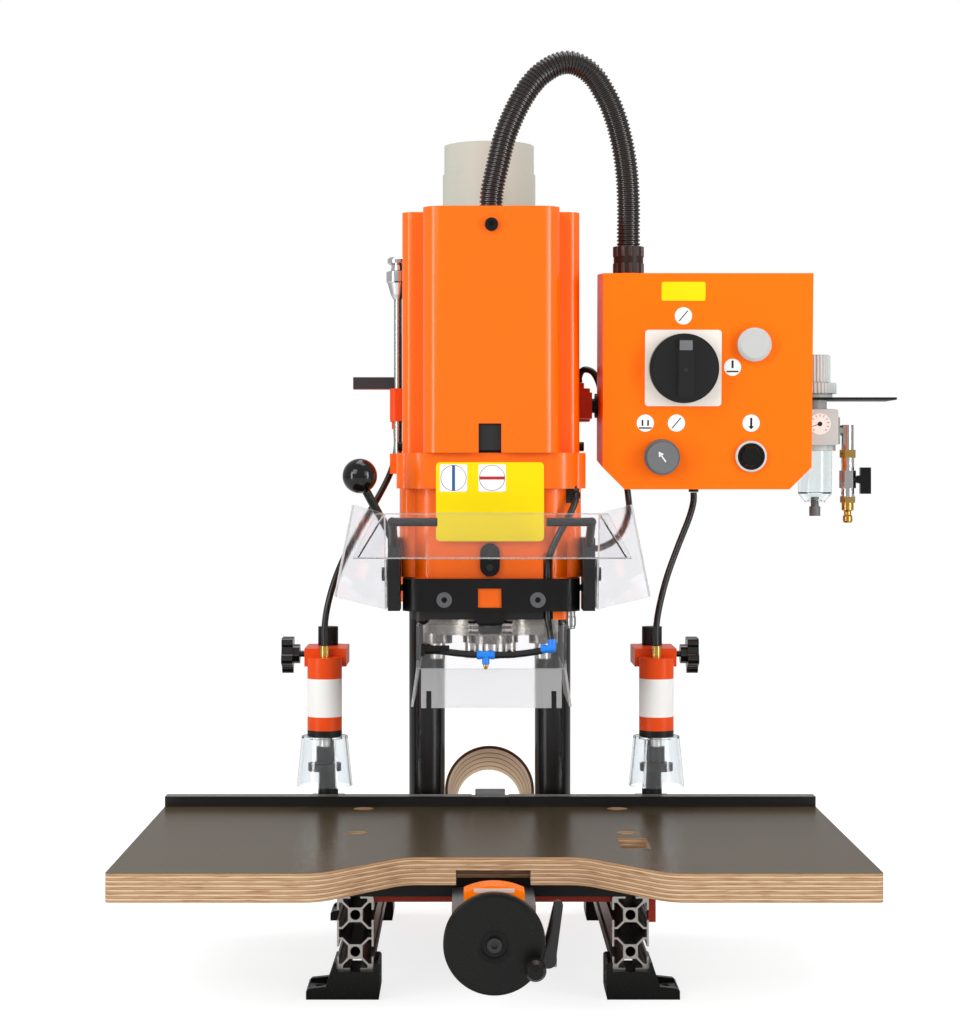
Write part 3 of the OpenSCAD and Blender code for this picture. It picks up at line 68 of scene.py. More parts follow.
def linear(code):
    """Linear colour of an sRGB hex value."""
    parts = [int(code[i:i + 2], 16) / 255 for i in (1, 3, 5)]
    return [c / 12.92 if c <= 0.04045 else ((c + 0.055) / 1.055) ** 2.4 for c in parts] + [1.0]


def add(tree, kind, inputs=None, **settings):
    """Adds a node with its settings; each input is a value or a socket to link."""
    made = tree.nodes.new(kind)
    for name, value in settings.items():
        setattr(made, name, value)
    for key, value in (inputs or {}).items():
        if isinstance(value, bpy.types.NodeSocket):
            tree.links.new(value, made.inputs[key])
        else:
            made.inputs[key].default_value = value
    return made


def spline(points, steps):
    """Catmull-Rom curve through the points, as the CAD source draws it."""
    out = []
    pts = [Vector(p) for p in points]
    for i in range(len(pts) - 1):
        a, b, c, d = pts[max(i - 1, 0)], pts[i], pts[i + 1], pts[min(i + 2, len(pts) - 1)]
        for k in range(steps):
            t = k / steps
            out.append(0.5 * (2 * b + (c - a) * t + (2 * a - 5 * b + 4 * c - d) * t * t
                              + (3 * b - a - 3 * c + d) * t ** 3))
    return out + [pts[-1]]


def painted_zone(tree, point, zone, chosen, bare):
    """Mixes a zone's value over the bare one inside a box given in millimetres."""
    low, high = Vector(zone["low"]) * MM, Vector(zone["high"]) * MM
    off = add(tree, "ShaderNodeVectorMath", {0: point, 1: (low + high) / 2}, operation="SUBTRACT")
    share = add(tree, "ShaderNodeVectorMath", {0: off.outputs[0], 1: (high - low) / 2}, operation="DIVIDE")
    size = add(tree, "ShaderNodeVectorMath", {0: share.outputs[0]}, operation="ABSOLUTE")
    axes = add(tree, "ShaderNodeSeparateXYZ", {0: size.outputs[0]})
    wide = add(tree, "ShaderNodeMath", {0: axes.outputs[0], 1: axes.outputs[1]}, operation="MAXIMUM")
    most = add(tree, "ShaderNodeMath", {0: wide.outputs[0], 1: axes.outputs[2]}, operation="MAXIMUM")
    inside = add(tree, "ShaderNodeMath", {0: most.outputs[0], 1: 1.0}, operation="LESS_THAN")
    if isinstance(chosen, list):
        mix = add(tree, "ShaderNodeMix", {0: inside.outputs[0], 6: bare, 7: chosen}, data_type="RGBA")
        return mix.outputs[2]
    mix = add(tree, "ShaderNodeMix", {0: inside.outputs[0], 2: bare, 3: chosen}, data_type="FLOAT")
    return mix.outputs[0]


def coated(name, colour, roughness, metallic=0.0, mottle=0.06, mottle_mm=60.0, grain_mm=1.2,
           grain_height_mm=0.02, stretch=(1, 1, 1), edge_mm=0.5, zones=(), tilt=None, **sockets):
    """A procedural finish: mottled colour, grain in roughness and bump, softened edges."""
    made = bpy.data.materials.new(name)
    made.use_nodes = True
    tree = made.node_tree
    tree.nodes.clear()
    place = add(tree, "ShaderNodeTexCoord").outputs["Object"]
    drawn = add(tree, "ShaderNodeMapping", {"Vector": place, "Scale": stretch}).outputs[0]
    cloud = add(tree, "ShaderNodeTexNoise", {"Vector": drawn, "Scale": 1 / (mottle_mm * MM), "Detail": 4.0})
    grain = add(tree, "ShaderNodeTexNoise", {"Vector": drawn, "Scale": 1 / (grain_mm * MM), "Detail": 3.0})
    base = linear(colour)
    dark = [c * (1 - mottle) for c in base[:3]] + [1.0]
    light = [min(1.0, c * (1 + mottle)) for c in base[:3]] + [1.0]
    mixed = add(tree, "ShaderNodeMix", {0: cloud.outputs[0], 6: dark, 7: light}, data_type="RGBA").outputs[2]
    rough = add(tree, "ShaderNodeMapRange", {0: grain.outputs[0], 1: 0.3, 2: 0.7,
                3: max(0.02, roughness * 0.85), 4: min(1.0, roughness * 1.15)}).outputs[0]
    shader = add(tree, "ShaderNodeBsdfPrincipled", sockets)
    metal = metallic
    zone_place = place
    if tilt:
        # Undoes a tilted body's turn about X, so that its zones are upright boxes
        at, degrees = tilt
        shift = Vector(at) * MM
        moved = add(tree, "ShaderNodeVectorMath", {0: place, 1: shift}, operation="SUBTRACT")
        turned = add(tree, "ShaderNodeVectorRotate", {0: moved.outputs[0], "Angle": math.radians(-degrees),
                     "Axis": (1, 0, 0)}, rotation_type="AXIS_ANGLE")
        zone_place = turned.outputs[0]
    for zone in zones:
        mixed = painted_zone(tree, zone_place, zone, linear(zone["colour"]), mixed)
        rough = painted_zone(tree, zone_place, zone, zone["roughness"], rough)
        metal = painted_zone(tree, zone_place, zone, zone.get("metallic", 0.0), metal)
    tree.links.new(mixed, shader.inputs["Base Color"])
    tree.links.new(rough, shader.inputs["Roughness"])
    if isinstance(metal, bpy.types.NodeSocket):
        tree.links.new(metal, shader.inputs["Metallic"])
    else:
        shader.inputs["Metallic"].default_value = metal
    normal = {"Strength": 0.6, "Distance": grain_height_mm * MM, "Height": grain.outputs[0]}
    if edge_mm:
        normal["Normal"] = add(tree, "ShaderNodeBevel", {"Radius": edge_mm * MM}, samples=4).outputs[0]
    bump = add(tree, "ShaderNodeBump", normal)
    tree.links.new(bump.outputs[0], shader.inputs["Normal"])
    add(tree, "ShaderNodeOutputMaterial", {"Surface": shader.outputs[0]})
    return made


# The satin paints reflect little of the white studio, so their own colour stays deep
LOW = {"Specular IOR Level": 0.18}
SATIN = {"Specular IOR Level": 0.4}
DARK = {"Specular IOR Level": 0.22}
# Powder-coated steel sheet: satin, a fine orange-peel ripple
box_coat = coated("orange_powder_coat", "#FF6F00", 0.38, grain_mm=1.6, grain_height_mm=0.03, mottle=0.03, zones=[
    dict(low=(140, 30, 813.5), high=(195, 85, 860), colour="#2E2624", roughness=0.4),
    dict(low=(236, 50, 540), high=(260, 76, 556.8), colour="#151515", roughness=0.4)], **LOW)
# Painted aluminium casting: sand-cast texture under satin paint; the foot below the band is black
casting = coated("orange_painted_casting", "#F96700", 0.24, grain_mm=2.2, grain_height_mm=0.03, mottle=0.05, zones=[
    dict(low=(-110, -80, 398), high=(72, 20, 410.4), colour="#131212", roughness=0.4),
    dict(low=(98, -24, 470), high=(120, 30, 490), colour="#151515", roughness=0.4),
    dict(low=(88, -47, 536), high=(110, -37.5, 556), colour="#151515", roughness=0.4)], **SATIN)
# Red-orange paint of the carriage, the cross block and the clamps
clamp_paint = dict(colour="#E64A0B", roughness=0.32, grain_mm=1.8, grain_height_mm=0.05, mottle=0.05, **LOW)
carriage_paint = coated("red_orange_paint", **clamp_paint)
# The cross block in the same paint; the bracket at its left stays dark grey
yoke_paint = coated("red_orange_block_paint", **clamp_paint, zones=[
    dict(low=(-180, 100, 676.6), high=(-110, 200, 700), colour="#3A3A3C", roughness=0.45)])
# Clamp castings in the same paint: brass hose fitting, white band and black foot ring
clamp_body_paint = coated("clamp_casting_paint", **clamp_paint, zones=[
    dict(low=(-208.5, 43, 347.1), high=(-194.5, 57, 380), colour="#C49A52", roughness=0.26, metallic=1.0),
    dict(low=(194.5, 43, 347.1), high=(208.5, 57, 380), colour="#C49A52", roughness=0.26, metallic=1.0),
    dict(low=(-300, 0, 250), high=(300, 74, 259.5), colour="#181817", roughness=0.4),
    dict(low=(-300, 0, 276), high=(300, 59.5, 322), colour="#F2F1EE", roughness=0.4)])
# Satin black paint on steel
black_paint = coated("satin_black_paint", "#131212", 0.42, grain_mm=1.5, grain_height_mm=0.03, **DARK)
# Guard bars in satin black; the ball on the lever is polished and mirrors the lamps
guard_paint = coated("black_paint_and_polished_ball", "#121111", 0.36, grain_mm=1.5, grain_height_mm=0.01, zones=[
    dict(low=(-180, -260, 545), high=(-118, -60, 610), colour="#0B0B0B", roughness=0.1)], **SATIN)
# Cross members in satin black; the tie and end block are red paint darkened to a deep red, painted shade from under
# the table
tie_paint = coated("black_paint_with_red_tie_in_painted_shade", "#131212", 0.42, grain_mm=1.5, zones=[
    # Painted shade: red-orange paint darkened where the table shades the tie and end block
    dict(low=(-131, -260, 100), high=(131, -190, 109.9), colour="#8E2A14", roughness=0.5),
    dict(low=(165, -260, 80), high=(180, -190, 109.9), colour="#B2301A", roughness=0.45)], **DARK)
# Black oxide steel columns: dark and oiled, with a long soft highlight
column_steel = coated("black_oxide_column_steel", "#131010", 0.24, stretch=(1, 1, 0.05),
                      grain_mm=2.5, grain_height_mm=0.002, mottle=0.03, **SATIN)
# Extruded and natural anodised aluminium: fine die lines along the rail
rail_aluminium = coated("natural_anodised_rail", "#B4B0AA", 0.36, metallic=1.0, stretch=(1, 0.03, 1),
                        grain_mm=0.6, grain_height_mm=0.03)
# Turned steel: rings of the tool in the roughness
turned_steel = coated("turned_steel", "#B9B6B0", 0.26, metallic=1.0, grain_mm=0.5, grain_height_mm=0.02)
# Gearbox turned from aluminium: soft grey metal, darker than the steel spindles
ring_aluminium = coated("machined_gearbox_aluminium", "#7E7A74", 0.27, metallic=1.0, grain_mm=0.8,
                        grain_height_mm=0.02)
# Cast motor housing, bare aluminium gone grey
motor_cast = coated("cast_motor_housing", "#8A8C8E", 0.5, metallic=0.8, grain_mm=1.6, grain_height_mm=0.12)
# Zinc die-cast bearing plate, painted grey
grey_plate = coated("grey_painted_plate", "#85878A", 0.45, metallic=0.3, grain_mm=1.4)
# Polished chrome plating
chrome = coated("chrome_plating", "#D6D6D6", 0.10, metallic=1.0, mottle=0.02, grain_height_mm=0.004)
# Turned brass, plain
brass = coated("turned_brass", "#C49A52", 0.26, metallic=1.0)
# Feet, knobs and handwheel in moulded black nylon: fine spark-eroded grain
black_nylon = coated("moulded_black_nylon", "#100F0E", 0.28, grain_mm=0.9, grain_height_mm=0.02, **DARK)
# Polished black thermoplastic of the main switch: even sheen
switch_black = coated("polished_black_switch_plastic", "#151414", 0.2, grain_mm=0.9, grain_height_mm=0.01)
# Phenolic knobs: deep black, wet-looking shine
gloss_black = coated("gloss_black_phenolic", "#0A0A0A", 0.14, mottle=0.02, grain_height_mm=0.004,
                     **{"Coat Weight": 0.3, "Coat Roughness": 0.06})
# Polyurethane air hose: smooth black with a soft sheen
black_rubber = coated("black_hose_polyurethane", "#101010", 0.32, grain_mm=1.0, grain_height_mm=0.02, edge_mm=0)
# Corrugated polyamide: each rib carries a bright line
conduit_plastic = coated("black_corrugated_polyamide", "#2B2725", 0.22, grain_mm=1.0, grain_height_mm=0.02,
                         edge_mm=0)
# Gland nut in dark brown-black polyamide, fine moulded grain
gland_brown = coated("dark_gland_polyamide", "#3B3230", 0.34, grain_mm=0.9, grain_height_mm=0.02)
# Selector and drain knob: mid-grey moulded plastic, satin
grey_plastic = coated("grey_moulded_plastic", "#66686A", 0.42, grain_mm=0.8, grain_height_mm=0.03)
# Regulator knob and button ring: pale grey moulded plastic
knob_grey = coated("pale_grey_knob_plastic", "#C6C7C6", 0.38, grain_mm=0.8, grain_height_mm=0.03)
# Switch plate: cream-white moulded plastic, nearly even
switch_cream = coated("pale_moulded_switch_plate", "#E4DDD4", 0.4, mottle=0.02, grain_mm=0.8)
# Signal lamp: opal plastic, smooth and slightly shiny
pale_plastic = coated("opal_lamp_plastic", "#BCBDBC", 0.22, mottle=0.02, grain_height_mm=0.003)
# Extruded PVC pipe: matt beige grey
pipe_pvc = coated("beige_grey_pvc_pipe", "#C2C3B7", 0.42, mottle=0.03, grain_mm=2.0, grain_height_mm=0.02, **LOW)
# Zinc-plated screws: cool bright metal
steel_zinc = coated("zinc_plated_screw_steel", "#9C9EA0", 0.28, metallic=1.0, grain_mm=0.7)
# Printed film of discs and fields: flat white, semi-matt
white_film = coated("white_printed_film", "#F1F1EF", 0.42, mottle=0.01, grain_mm=0.8, grain_height_mm=0.005)
# Printed film of the two plates: flat yellow, semi-matt
yellow_film = coated("yellow_printed_film", "#F0D400", 0.40, mottle=0.01, grain_mm=0.8, grain_height_mm=0.005,
                     **LOW)
# Ink of the markings: even colour without grain
red_print = coated("red_marking_print", "#B81C26", 0.4, mottle=0.02)
blue_print = coated("blue_marking_print", "#1B5C94", 0.4, mottle=0.02)
# Push-in fittings: bright blue moulded plastic
blue_plastic = coated("blue_push_in_fitting", "#0F7CE4", 0.30, mottle=0.03)
# Painted shade: nearly black, matt plates that stand in for the shade in the depths of slots and holes
painted_recess_shade = coated("painted_recess_shade_black", "#0B0B0B", 0.55, mottle=0.02)
counter_plastic = coated("orange_counter_plastic", "#FF7600", 0.26, mottle=0.03, **LOW)
# Strip in the counter's window: pale rose, slightly shiny
window_strip = coated("pale_window_strip", "#D3BBAF", 0.3, mottle=0.02)


def clear_sheet(name, tint, roughness, haze_share=0.0, haze_below_mm=-1.0):
    """Clear plastic sheet: light passes, faint scratches catch it, and a worn zone below a height looks milky."""
    made = bpy.data.materials.new(name)
    made.use_nodes = True
    tree = made.node_tree
    tree.nodes.clear()
    place = add(tree, "ShaderNodeTexCoord").outputs["Object"]
    long = add(tree, "ShaderNodeMapping", {"Vector": place, "Scale": (1, 1, 0.08)}).outputs[0]
    haze = add(tree, "ShaderNodeTexNoise", {"Vector": long, "Scale": 420.0, "Detail": 5.0})
    rough = add(tree, "ShaderNodeMapRange", {0: haze.outputs[0], 1: 0.45, 2: 0.75, 3: roughness,
                                              4: roughness * 3}).outputs[0]
    bump = add(tree, "ShaderNodeBump", {"Strength": 0.25, "Distance": 0.00002, "Height": haze.outputs[0]})
    axes = add(tree, "ShaderNodeSeparateXYZ", {0: place})
    low = add(tree, "ShaderNodeMath", {0: axes.outputs[2], 1: haze_below_mm * MM}, operation="LESS_THAN")
    milk = add(tree, "ShaderNodeMath", {0: low.outputs[0], 1: haze_share}, operation="MULTIPLY")
    clear = add(tree, "ShaderNodeBsdfPrincipled", {
        "Base Color": linear(tint), "Roughness": rough, "IOR": 1.49, "Transmission Weight": 1.0,
        "Normal": bump.outputs[0]})
    front = add(tree, "ShaderNodeBsdfDiffuse", {"Color": linear("#F8F8F9")})
    through = add(tree, "ShaderNodeBsdfTranslucent", {"Color": linear("#F8F8F9")})
    milky = add(tree, "ShaderNodeMixShader", {0: 0.4, 1: front.outputs[0], 2: through.outputs[0]})
    mixed = add(tree, "ShaderNodeMixShader", {0: milk.outputs[0], 1: clear.outputs[0], 2: milky.outputs[0]})
    add(tree, "ShaderNodeOutputMaterial", {"Surface": mixed.outputs[0]})
    return made


# Polycarbonate and acrylic: almost colourless, their sawn edges milky and bright
visor_sheet = clear_sheet("clear_polycarbonate_sheet", "#F7F7FA", 0.03)
shroud_sheet = clear_sheet("clear_shroud_sheet", "#F8F8FA", 0.04, 0.28, 343)
sheet_edge = clear_sheet("sawn_sheet_edge", "#F4F4F6", 0.2, 0.65, 3000)
cup_plastic = clear_sheet("clear_moulded_cup", "#F2F6F8", 0.05)
bowl_plastic = clear_sheet("clear_filter_bowl", "#EEF4F4", 0.06)


def plywood_finish():
    """Birch plywood: dark phenolic film on the faces, bare plies and glue lines on every edge."""
    made = bpy.data.materials.new("film_faced_birch_plywood")
    made.use_nodes = True
    tree = made.node_tree
    tree.nodes.clear()
    top_m, bottom_m, ply_m = 0.16085, 0.13115, 0.0023
    place = add(tree, "ShaderNodeTexCoord").outputs["Object"]
    axes = add(tree, "ShaderNodeSeparateXYZ", {0: place})
    along = add(tree, "ShaderNodeMapping", {"Vector": place, "Scale": (0.12, 0.12, 1)}).outputs[0]
    waver = add(tree, "ShaderNodeTexNoise", {"Vector": along, "Scale": 160.0, "Detail": 2.0})
    fibre = add(tree, "ShaderNodeTexNoise", {"Vector": along, "Scale": 1500.0, "Detail": 4.0})
    ply = add(tree, "ShaderNodeMath", {0: axes.outputs[2], 1: 1 / ply_m}, operation="MULTIPLY")
    bent = add(tree, "ShaderNodeMath", {0: waver.outputs[0], 1: 0.5, 2: ply.outputs[0]}, operation="MULTIPLY_ADD")
    part = add(tree, "ShaderNodeMath", {0: bent.outputs[0]}, operation="FRACT")
    pair = add(tree, "ShaderNodeMath", {0: bent.outputs[0], 1: 2.0}, operation="FLOORED_MODULO")
    second = add(tree, "ShaderNodeMath", {0: pair.outputs[0], 1: 1.0}, operation="GREATER_THAN")
    glue = add(tree, "ShaderNodeMath", {0: part.outputs[0], 1: 0.26}, operation="LESS_THAN")
    faces = add(tree, "ShaderNodeMix", {0: second.outputs[0], 6: linear("#CDB292"), 7: linear("#AF8C68")},
                data_type="RGBA")
    veneer = add(tree, "ShaderNodeMapping", {"Vector": place, "Scale": (0.05, 0.05, 1)}).outputs[0]
    streak = add(tree, "ShaderNodeTexNoise", {"Vector": veneer, "Scale": 620.0, "Detail": 3.0})
    dark = add(tree, "ShaderNodeMapRange", {0: streak.outputs[0], 1: 0.5, 2: 0.68, 3: 0.0, 4: 0.75}).outputs[0]
    fibres = add(tree, "ShaderNodeMix", {0: dark, 6: faces.outputs[2], 7: linear("#8E6647")}, data_type="RGBA")
    fade = add(tree, "ShaderNodeMath", {0: glue.outputs[0], 1: 0.6}, operation="MULTIPLY")
    edge = add(tree, "ShaderNodeMix", {0: fade.outputs[0], 6: fibres.outputs[2], 7: linear("#6F472F")},
               data_type="RGBA")
    speck = add(tree, "ShaderNodeTexNoise", {"Vector": place, "Scale": 900.0, "Detail": 2.0})
    cloud = add(tree, "ShaderNodeTexNoise", {"Vector": place, "Scale": 9.0, "Detail": 5.0})
    film = add(tree, "ShaderNodeMix", {0: cloud.outputs[0], 6: linear("#453A29"), 7: linear("#4E4331")},
               data_type="RGBA")
    over = add(tree, "ShaderNodeMath", {0: axes.outputs[2], 1: top_m}, operation="GREATER_THAN")
    under = add(tree, "ShaderNodeMath", {0: axes.outputs[2], 1: bottom_m}, operation="LESS_THAN")
    faced = add(tree, "ShaderNodeMath", {0: over.outputs[0], 1: under.outputs[0]}, operation="MAXIMUM")
    colour = add(tree, "ShaderNodeMix", {0: faced.outputs[0], 6: edge.outputs[2], 7: film.outputs[2]},
                 data_type="RGBA")
    rough = add(tree, "ShaderNodeMix", {0: faced.outputs[0], 2: 0.62, 3: 0.27}, data_type="FLOAT")
    shine = add(tree, "ShaderNodeMix", {0: faced.outputs[0], 2: 0.15, 3: 0.1}, data_type="FLOAT")
    height = add(tree, "ShaderNodeMix", {0: faced.outputs[0], 2: fibre.outputs[0], 3: speck.outputs[0]},
                 data_type="FLOAT")
    bump = add(tree, "ShaderNodeBump", {"Strength": 0.5, "Distance": 0.00008, "Height": height.outputs[0]})
    shader = add(tree, "ShaderNodeBsdfPrincipled", {
        "Base Color": colour.outputs[2], "Roughness": rough.outputs[0], "Normal": bump.outputs[0],
        "Specular IOR Level": shine.outputs[0]})
    add(tree, "ShaderNodeOutputMaterial", {"Surface": shader.outputs[0]})
    return made


plywood = plywood_finish()
# Black anodised fence bars; pale stripes on the back walls and top edges of the two grooves are a painted highlight
# of those edges
fence_black = coated("black_anodised_fence", "#161514", 0.34, metallic=0.3, stretch=(0.05, 1, 1), zones=[
    # Painted highlight: pale stripes where the grooves' back edges catch the light
    dict(low=(-500, 82 + 6.1, 171.9), high=(500, 82 + 7.9, 173.4), colour="#D9D8D2", roughness=0.4),
    dict(low=(-500, 82 + 15.1, 171.9), high=(500, 82 + 16.9, 173.4), colour="#D9D8D2", roughness=0.4),
    dict(low=(-19, 104.9, 160), high=(19, 130, 190), colour="#6F7072", roughness=0.4)])
# Moulded ABS cover: smooth satin orange, broad highlights on its round edges, black screw
cover_look = coated("orange_abs_cover_with_screw", "#FF6900", 0.2, grain_mm=2.5, mottle=0.03, zones=[
    dict(low=(-12, -95, 840), high=(12, -73.05, 880), colour="#1C1C1D", roughness=0.35, metallic=0.6)], **SATIN)
# Front band in satin black with two bright socket screws
band_look = coated("satin_black_band", "#121111", 0.38, grain_mm=1.5, zones=[
    dict(low=(s - 9.1, -90, 414), high=(s + 9.1, -68.1, 433), colour="#77787A", roughness=0.3, metallic=0.9)
    for s in (-55, 54)], **DARK)
# Ground steel plunger over a black rubber pad
plunger_look = coated("plunger_steel_and_black_pad", "#C2C0BB", 0.22, metallic=1.0, zones=[
    dict(low=(-300, 0, 170), high=(300, 100, 239.2), colour="#161616", roughness=0.45)])
# Lead screw in turned steel; its cap screw at the wheel is blackened
screw_look = coated("turned_lead_screw_steel", "#B9B6B0", 0.26, metallic=1.0, grain_mm=0.5,
                    grain_height_mm=0.02, zones=[
    dict(low=(-20, -430, 70), high=(20, -394, 112), colour="#3B3B3C", roughness=0.28, metallic=0.8)])
# Filter regulator: pale grey housing, nickel elbow, brass fittings, chrome valve
brass_zone = dict(colour="#C49A52", roughness=0.26, metallic=1.0)
# Air unit housing: pale grey moulded plastic
unit_grey = coated("pale_grey_unit_plastic", "#C2CBC9", 0.4, grain_mm=0.8, grain_height_mm=0.03)
valve_look = coated("air_unit_plastic_and_brass", "#C2CBC9", 0.42, zones=[
    dict(low=(430, 110, 598), high=(460, 145, 640), colour="#BDBBB6", roughness=0.22, metallic=1.0),
    dict(low=(430, 100, 541), high=(465, 145, 591), colour="#CFCFCF", roughness=0.14, metallic=1.0),
    dict(low=(430, 100, 589.9), high=(465, 145, 600), **brass_zone),
    dict(low=(430, 100, 500), high=(465, 145, 541), **brass_zone)])

node_looks = {
    "base_rails": rail_aluminium, "feet": black_nylon, "cross_members": tie_paint, "worktop": plywood,
    "table_screws": steel_zinc, "fence": fence_black, "clamp_posts": black_paint, "screw_bracket": grey_plate,
    "position_counter": counter_plastic, "lock_lever": switch_black, "handwheel": black_nylon,
    "lead_screw": screw_look, "crank_grip": black_nylon, "carriage": carriage_paint, "columns": column_steel,
    "column_yoke": yoke_paint, "box_arm": black_paint, "stroke_cylinder": ring_aluminium,
    "head_rods": turned_steel, "head_casting": casting, "column_bushes": brass, "front_band": band_look,
    "motor": motor_cast, "head_cover": cover_look, "depth_knob": chrome, "extraction_pipe": pipe_pvc,
    "gearbox": ring_aluminium, "centre_spindle": turned_steel, "plug_spindle_left": turned_steel,
    "plug_spindle_right": turned_steel, "row_spindle_left": turned_steel, "row_spindle_right": turned_steel,
    "idler_left": turned_steel, "idler_right": turned_steel, "swivel_lock": gloss_black,
    "chip_shroud": shroud_sheet, "guard_visor": visor_sheet, "guard_frame": guard_paint,
    "clamp_left": clamp_body_paint, "clamp_right": clamp_body_paint, "clamp_plunger_left": plunger_look,
    "clamp_plunger_right": plunger_look, "clamp_cup_left": cup_plastic, "clamp_cup_right": cup_plastic,
    "star_knob_left": gloss_black, "star_knob_right": gloss_black, "control_box": box_coat,
    "main_switch": switch_black, "selector": grey_plastic, "start_button": black_nylon,
    "signal_lamp": pale_plastic, "air_unit": valve_look, "filter_bowl": bowl_plastic,
    "regulator_knob": knob_grey, "drain_knob": grey_plastic, "valve_lever": black_nylon,
}
for name, look in node_looks.items():
    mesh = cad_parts[name].data
    mesh.materials.clear()
    mesh.materials.append(look)


def bright_edges(name, least_mm2=2500):
    """Gives a sheet's sawn edges their own finish: faces that look where little of the surface does."""
    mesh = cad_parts[name].data
    mesh.materials.append(sheet_edge)
    ways = [tuple(round(abs(c), 2) for c in face.normal) for face in mesh.polygons]
    area = {way: 0.0 for way in ways}
    for face, way in zip(mesh.polygons, ways):
        area[way] += face.area / MM ** 2
    for face, way in zip(mesh.polygons, ways):
        face.material_index = int(area[way] < least_mm2)


bright_edges("guard_visor")
bright_edges("chip_shroud")


def rounded(w, h, r, steps=6):
    """Outline of a rectangle with round corners, centred."""
    points = []
    for cx, cy, start in ((1, 1, 0), (-1, 1, 90), (-1, -1, 180), (1, -1, 270)):
        for k in range(steps + 1):
            a = math.radians(start + 90 * k / steps)
            points.append((cx * (w / 2 - r) + r * math.cos(a), cy * (h / 2 - r) + r * math.sin(a)))
    return points


def round_outline(r, steps=48):
    """Outline of a disc, centred."""
    return [(r * math.cos(math.tau * k / steps), r * math.sin(math.tau * k / steps)) for k in range(steps)]


def facing_front(at):
    """Places a flat outline on a face that looks at the camera: local Z comes forward."""
    return Matrix.Translation(at) @ Matrix.Rotation(math.radians(90), 4, "X")


BOX_AT = (256.5, -22, 679.5)
BOX_TILT = 4


def on_box(x, z, out=0.0):
    """Places an outline on the control box's front, x and z from its middle."""
    tilt = Matrix.Translation(BOX_AT) @ Matrix.Rotation(math.radians(BOX_TILT), 4, "X")
    return tilt @ Matrix.Translation((x, -out, z)) @ Matrix.Rotation(math.radians(90), 4, "X")


def plate(bm, outline, thick, place, bevel=0.0):
    """Solid plate of an outline, its back on the place's plane."""
    lower = [bm.verts.new(place @ Vector((x, y, 0))) for x, y in outline]
    upper = [bm.verts.new(place @ Vector((x, y, thick))) for x, y in outline]
    count = len(outline)
    faces = [bm.faces.new(lower[::-1]), bm.faces.new(upper)]
    for k in range(count):
        n = (k + 1) % count
        faces.append(bm.faces.new((lower[k], lower[n], upper[n], upper[k])))
    if bevel:
        rim = [e for e in faces[1].edges]
        bmesh.ops.bevel(bm, geom=rim, offset=bevel, segments=2, affect="EDGES", profile=0.6)


def lathe(bm, profile, place, steps=48):
    """Turns a profile of (radius, height) points about the place's Z; ends on the axis close it."""
    rings = []
    for r, h in profile:
        if r < 1e-6:
            rings.append([bm.verts.new(place @ Vector((0, 0, h)))])
        else:
            rings.append([bm.verts.new(place @ Vector((r * math.cos(math.tau * k / steps),
                                                       r * math.sin(math.tau * k / steps), h)))
                          for k in range(steps)])
    closed = profile[0][0] >= 1e-6
    spans = list(zip(rings, rings[1:] + rings[:1] if closed else rings[1:]))
    for low, high in spans:
        for k in range(steps):
            n = (k + 1) % steps
            corners = [low[k % len(low)], low[n % len(low)], high[n % len(high)], high[k % len(high)]]
            unique = list(dict.fromkeys(corners))
            if len(unique) > 2:
                bm.faces.new(unique)


def piece(name, body, look, bm, sharp=32):
    """Turns the mesh built in millimetres into a piece that rides on a CAD body."""
    bmesh.ops.remove_doubles(bm, verts=bm.verts, dist=1e-5)
    bmesh.ops.recalc_face_normals(bm, faces=bm.faces)
    bmesh.ops.scale(bm, verts=bm.verts, vec=(MM, MM, MM))
    mesh = bpy.data.meshes.new(name)
    bm.to_mesh(mesh)
    bm.free()
    mesh.materials.append(look)
    mesh.shade_smooth()
    mesh.set_sharp_from_angle(angle=math.radians(sharp))
    made = bpy.data.objects.new(name, mesh)
    scene.collection.objects.link(made)
    if body:
        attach(made, body)
    return made


def tube_tree():
    """Geometry nodes that sweep a tube along a curve, its wall ribbed by a pitch and a depth."""
    tree = bpy.data.node_groups.new("swept_hose", "GeometryNodeTree")
    for label, kind in (("Geometry", "NodeSocketGeometry"), ("Radius", "NodeSocketFloat"),
                        ("Rib pitch", "NodeSocketFloat"), ("Rib depth", "NodeSocketFloat"),
                        ("Sides", "NodeSocketInt"), ("Material", "NodeSocketMaterial")):
        tree.interface.new_socket(label, in_out="INPUT", socket_type=kind)
    tree.interface.new_socket("Geometry", in_out="OUTPUT", socket_type="NodeSocketGeometry")
    given = add(tree, "NodeGroupInput")
    step = add(tree, "ShaderNodeMath", {0: given.outputs["Rib pitch"], 1: 4.0}, operation="DIVIDE")
    even = add(tree, "GeometryNodeResampleCurve", {"Curve": given.outputs["Geometry"], "Length": step.outputs[0]},
               mode="LENGTH")
    index = add(tree, "GeometryNodeInputIndex")
    turn = add(tree, "ShaderNodeMath", {0: index.outputs[0], 1: 4.0}, operation="MODULO")
    low = add(tree, "ShaderNodeMath", {0: turn.outputs[0], 1: 1.5}, operation="GREATER_THAN")
    dip = add(tree, "ShaderNodeMath", {0: low.outputs[0], 1: given.outputs["Rib depth"]}, operation="MULTIPLY")
    wall = add(tree, "ShaderNodeMath", {0: given.outputs["Radius"], 1: dip.outputs[0]}, operation="SUBTRACT")
    ring = add(tree, "GeometryNodeCurvePrimitiveCircle", {"Resolution": given.outputs["Sides"], "Radius": 1.0})
    swept = add(tree, "GeometryNodeCurveToMesh", {"Curve": even.outputs[0], "Profile Curve": ring.outputs[0],
                                                  "Scale": wall.outputs[0], "Fill Caps": True})
    real = add(tree, "GeometryNodeRealizeInstances", {0: swept.outputs[0]})
    look = add(tree, "GeometryNodeSetMaterial", {"Geometry": real.outputs[0],
                                                 "Material": given.outputs["Material"]})
    add(tree, "NodeGroupOutput", {0: look.outputs[0]})
    return tree


hose_tree = tube_tree()


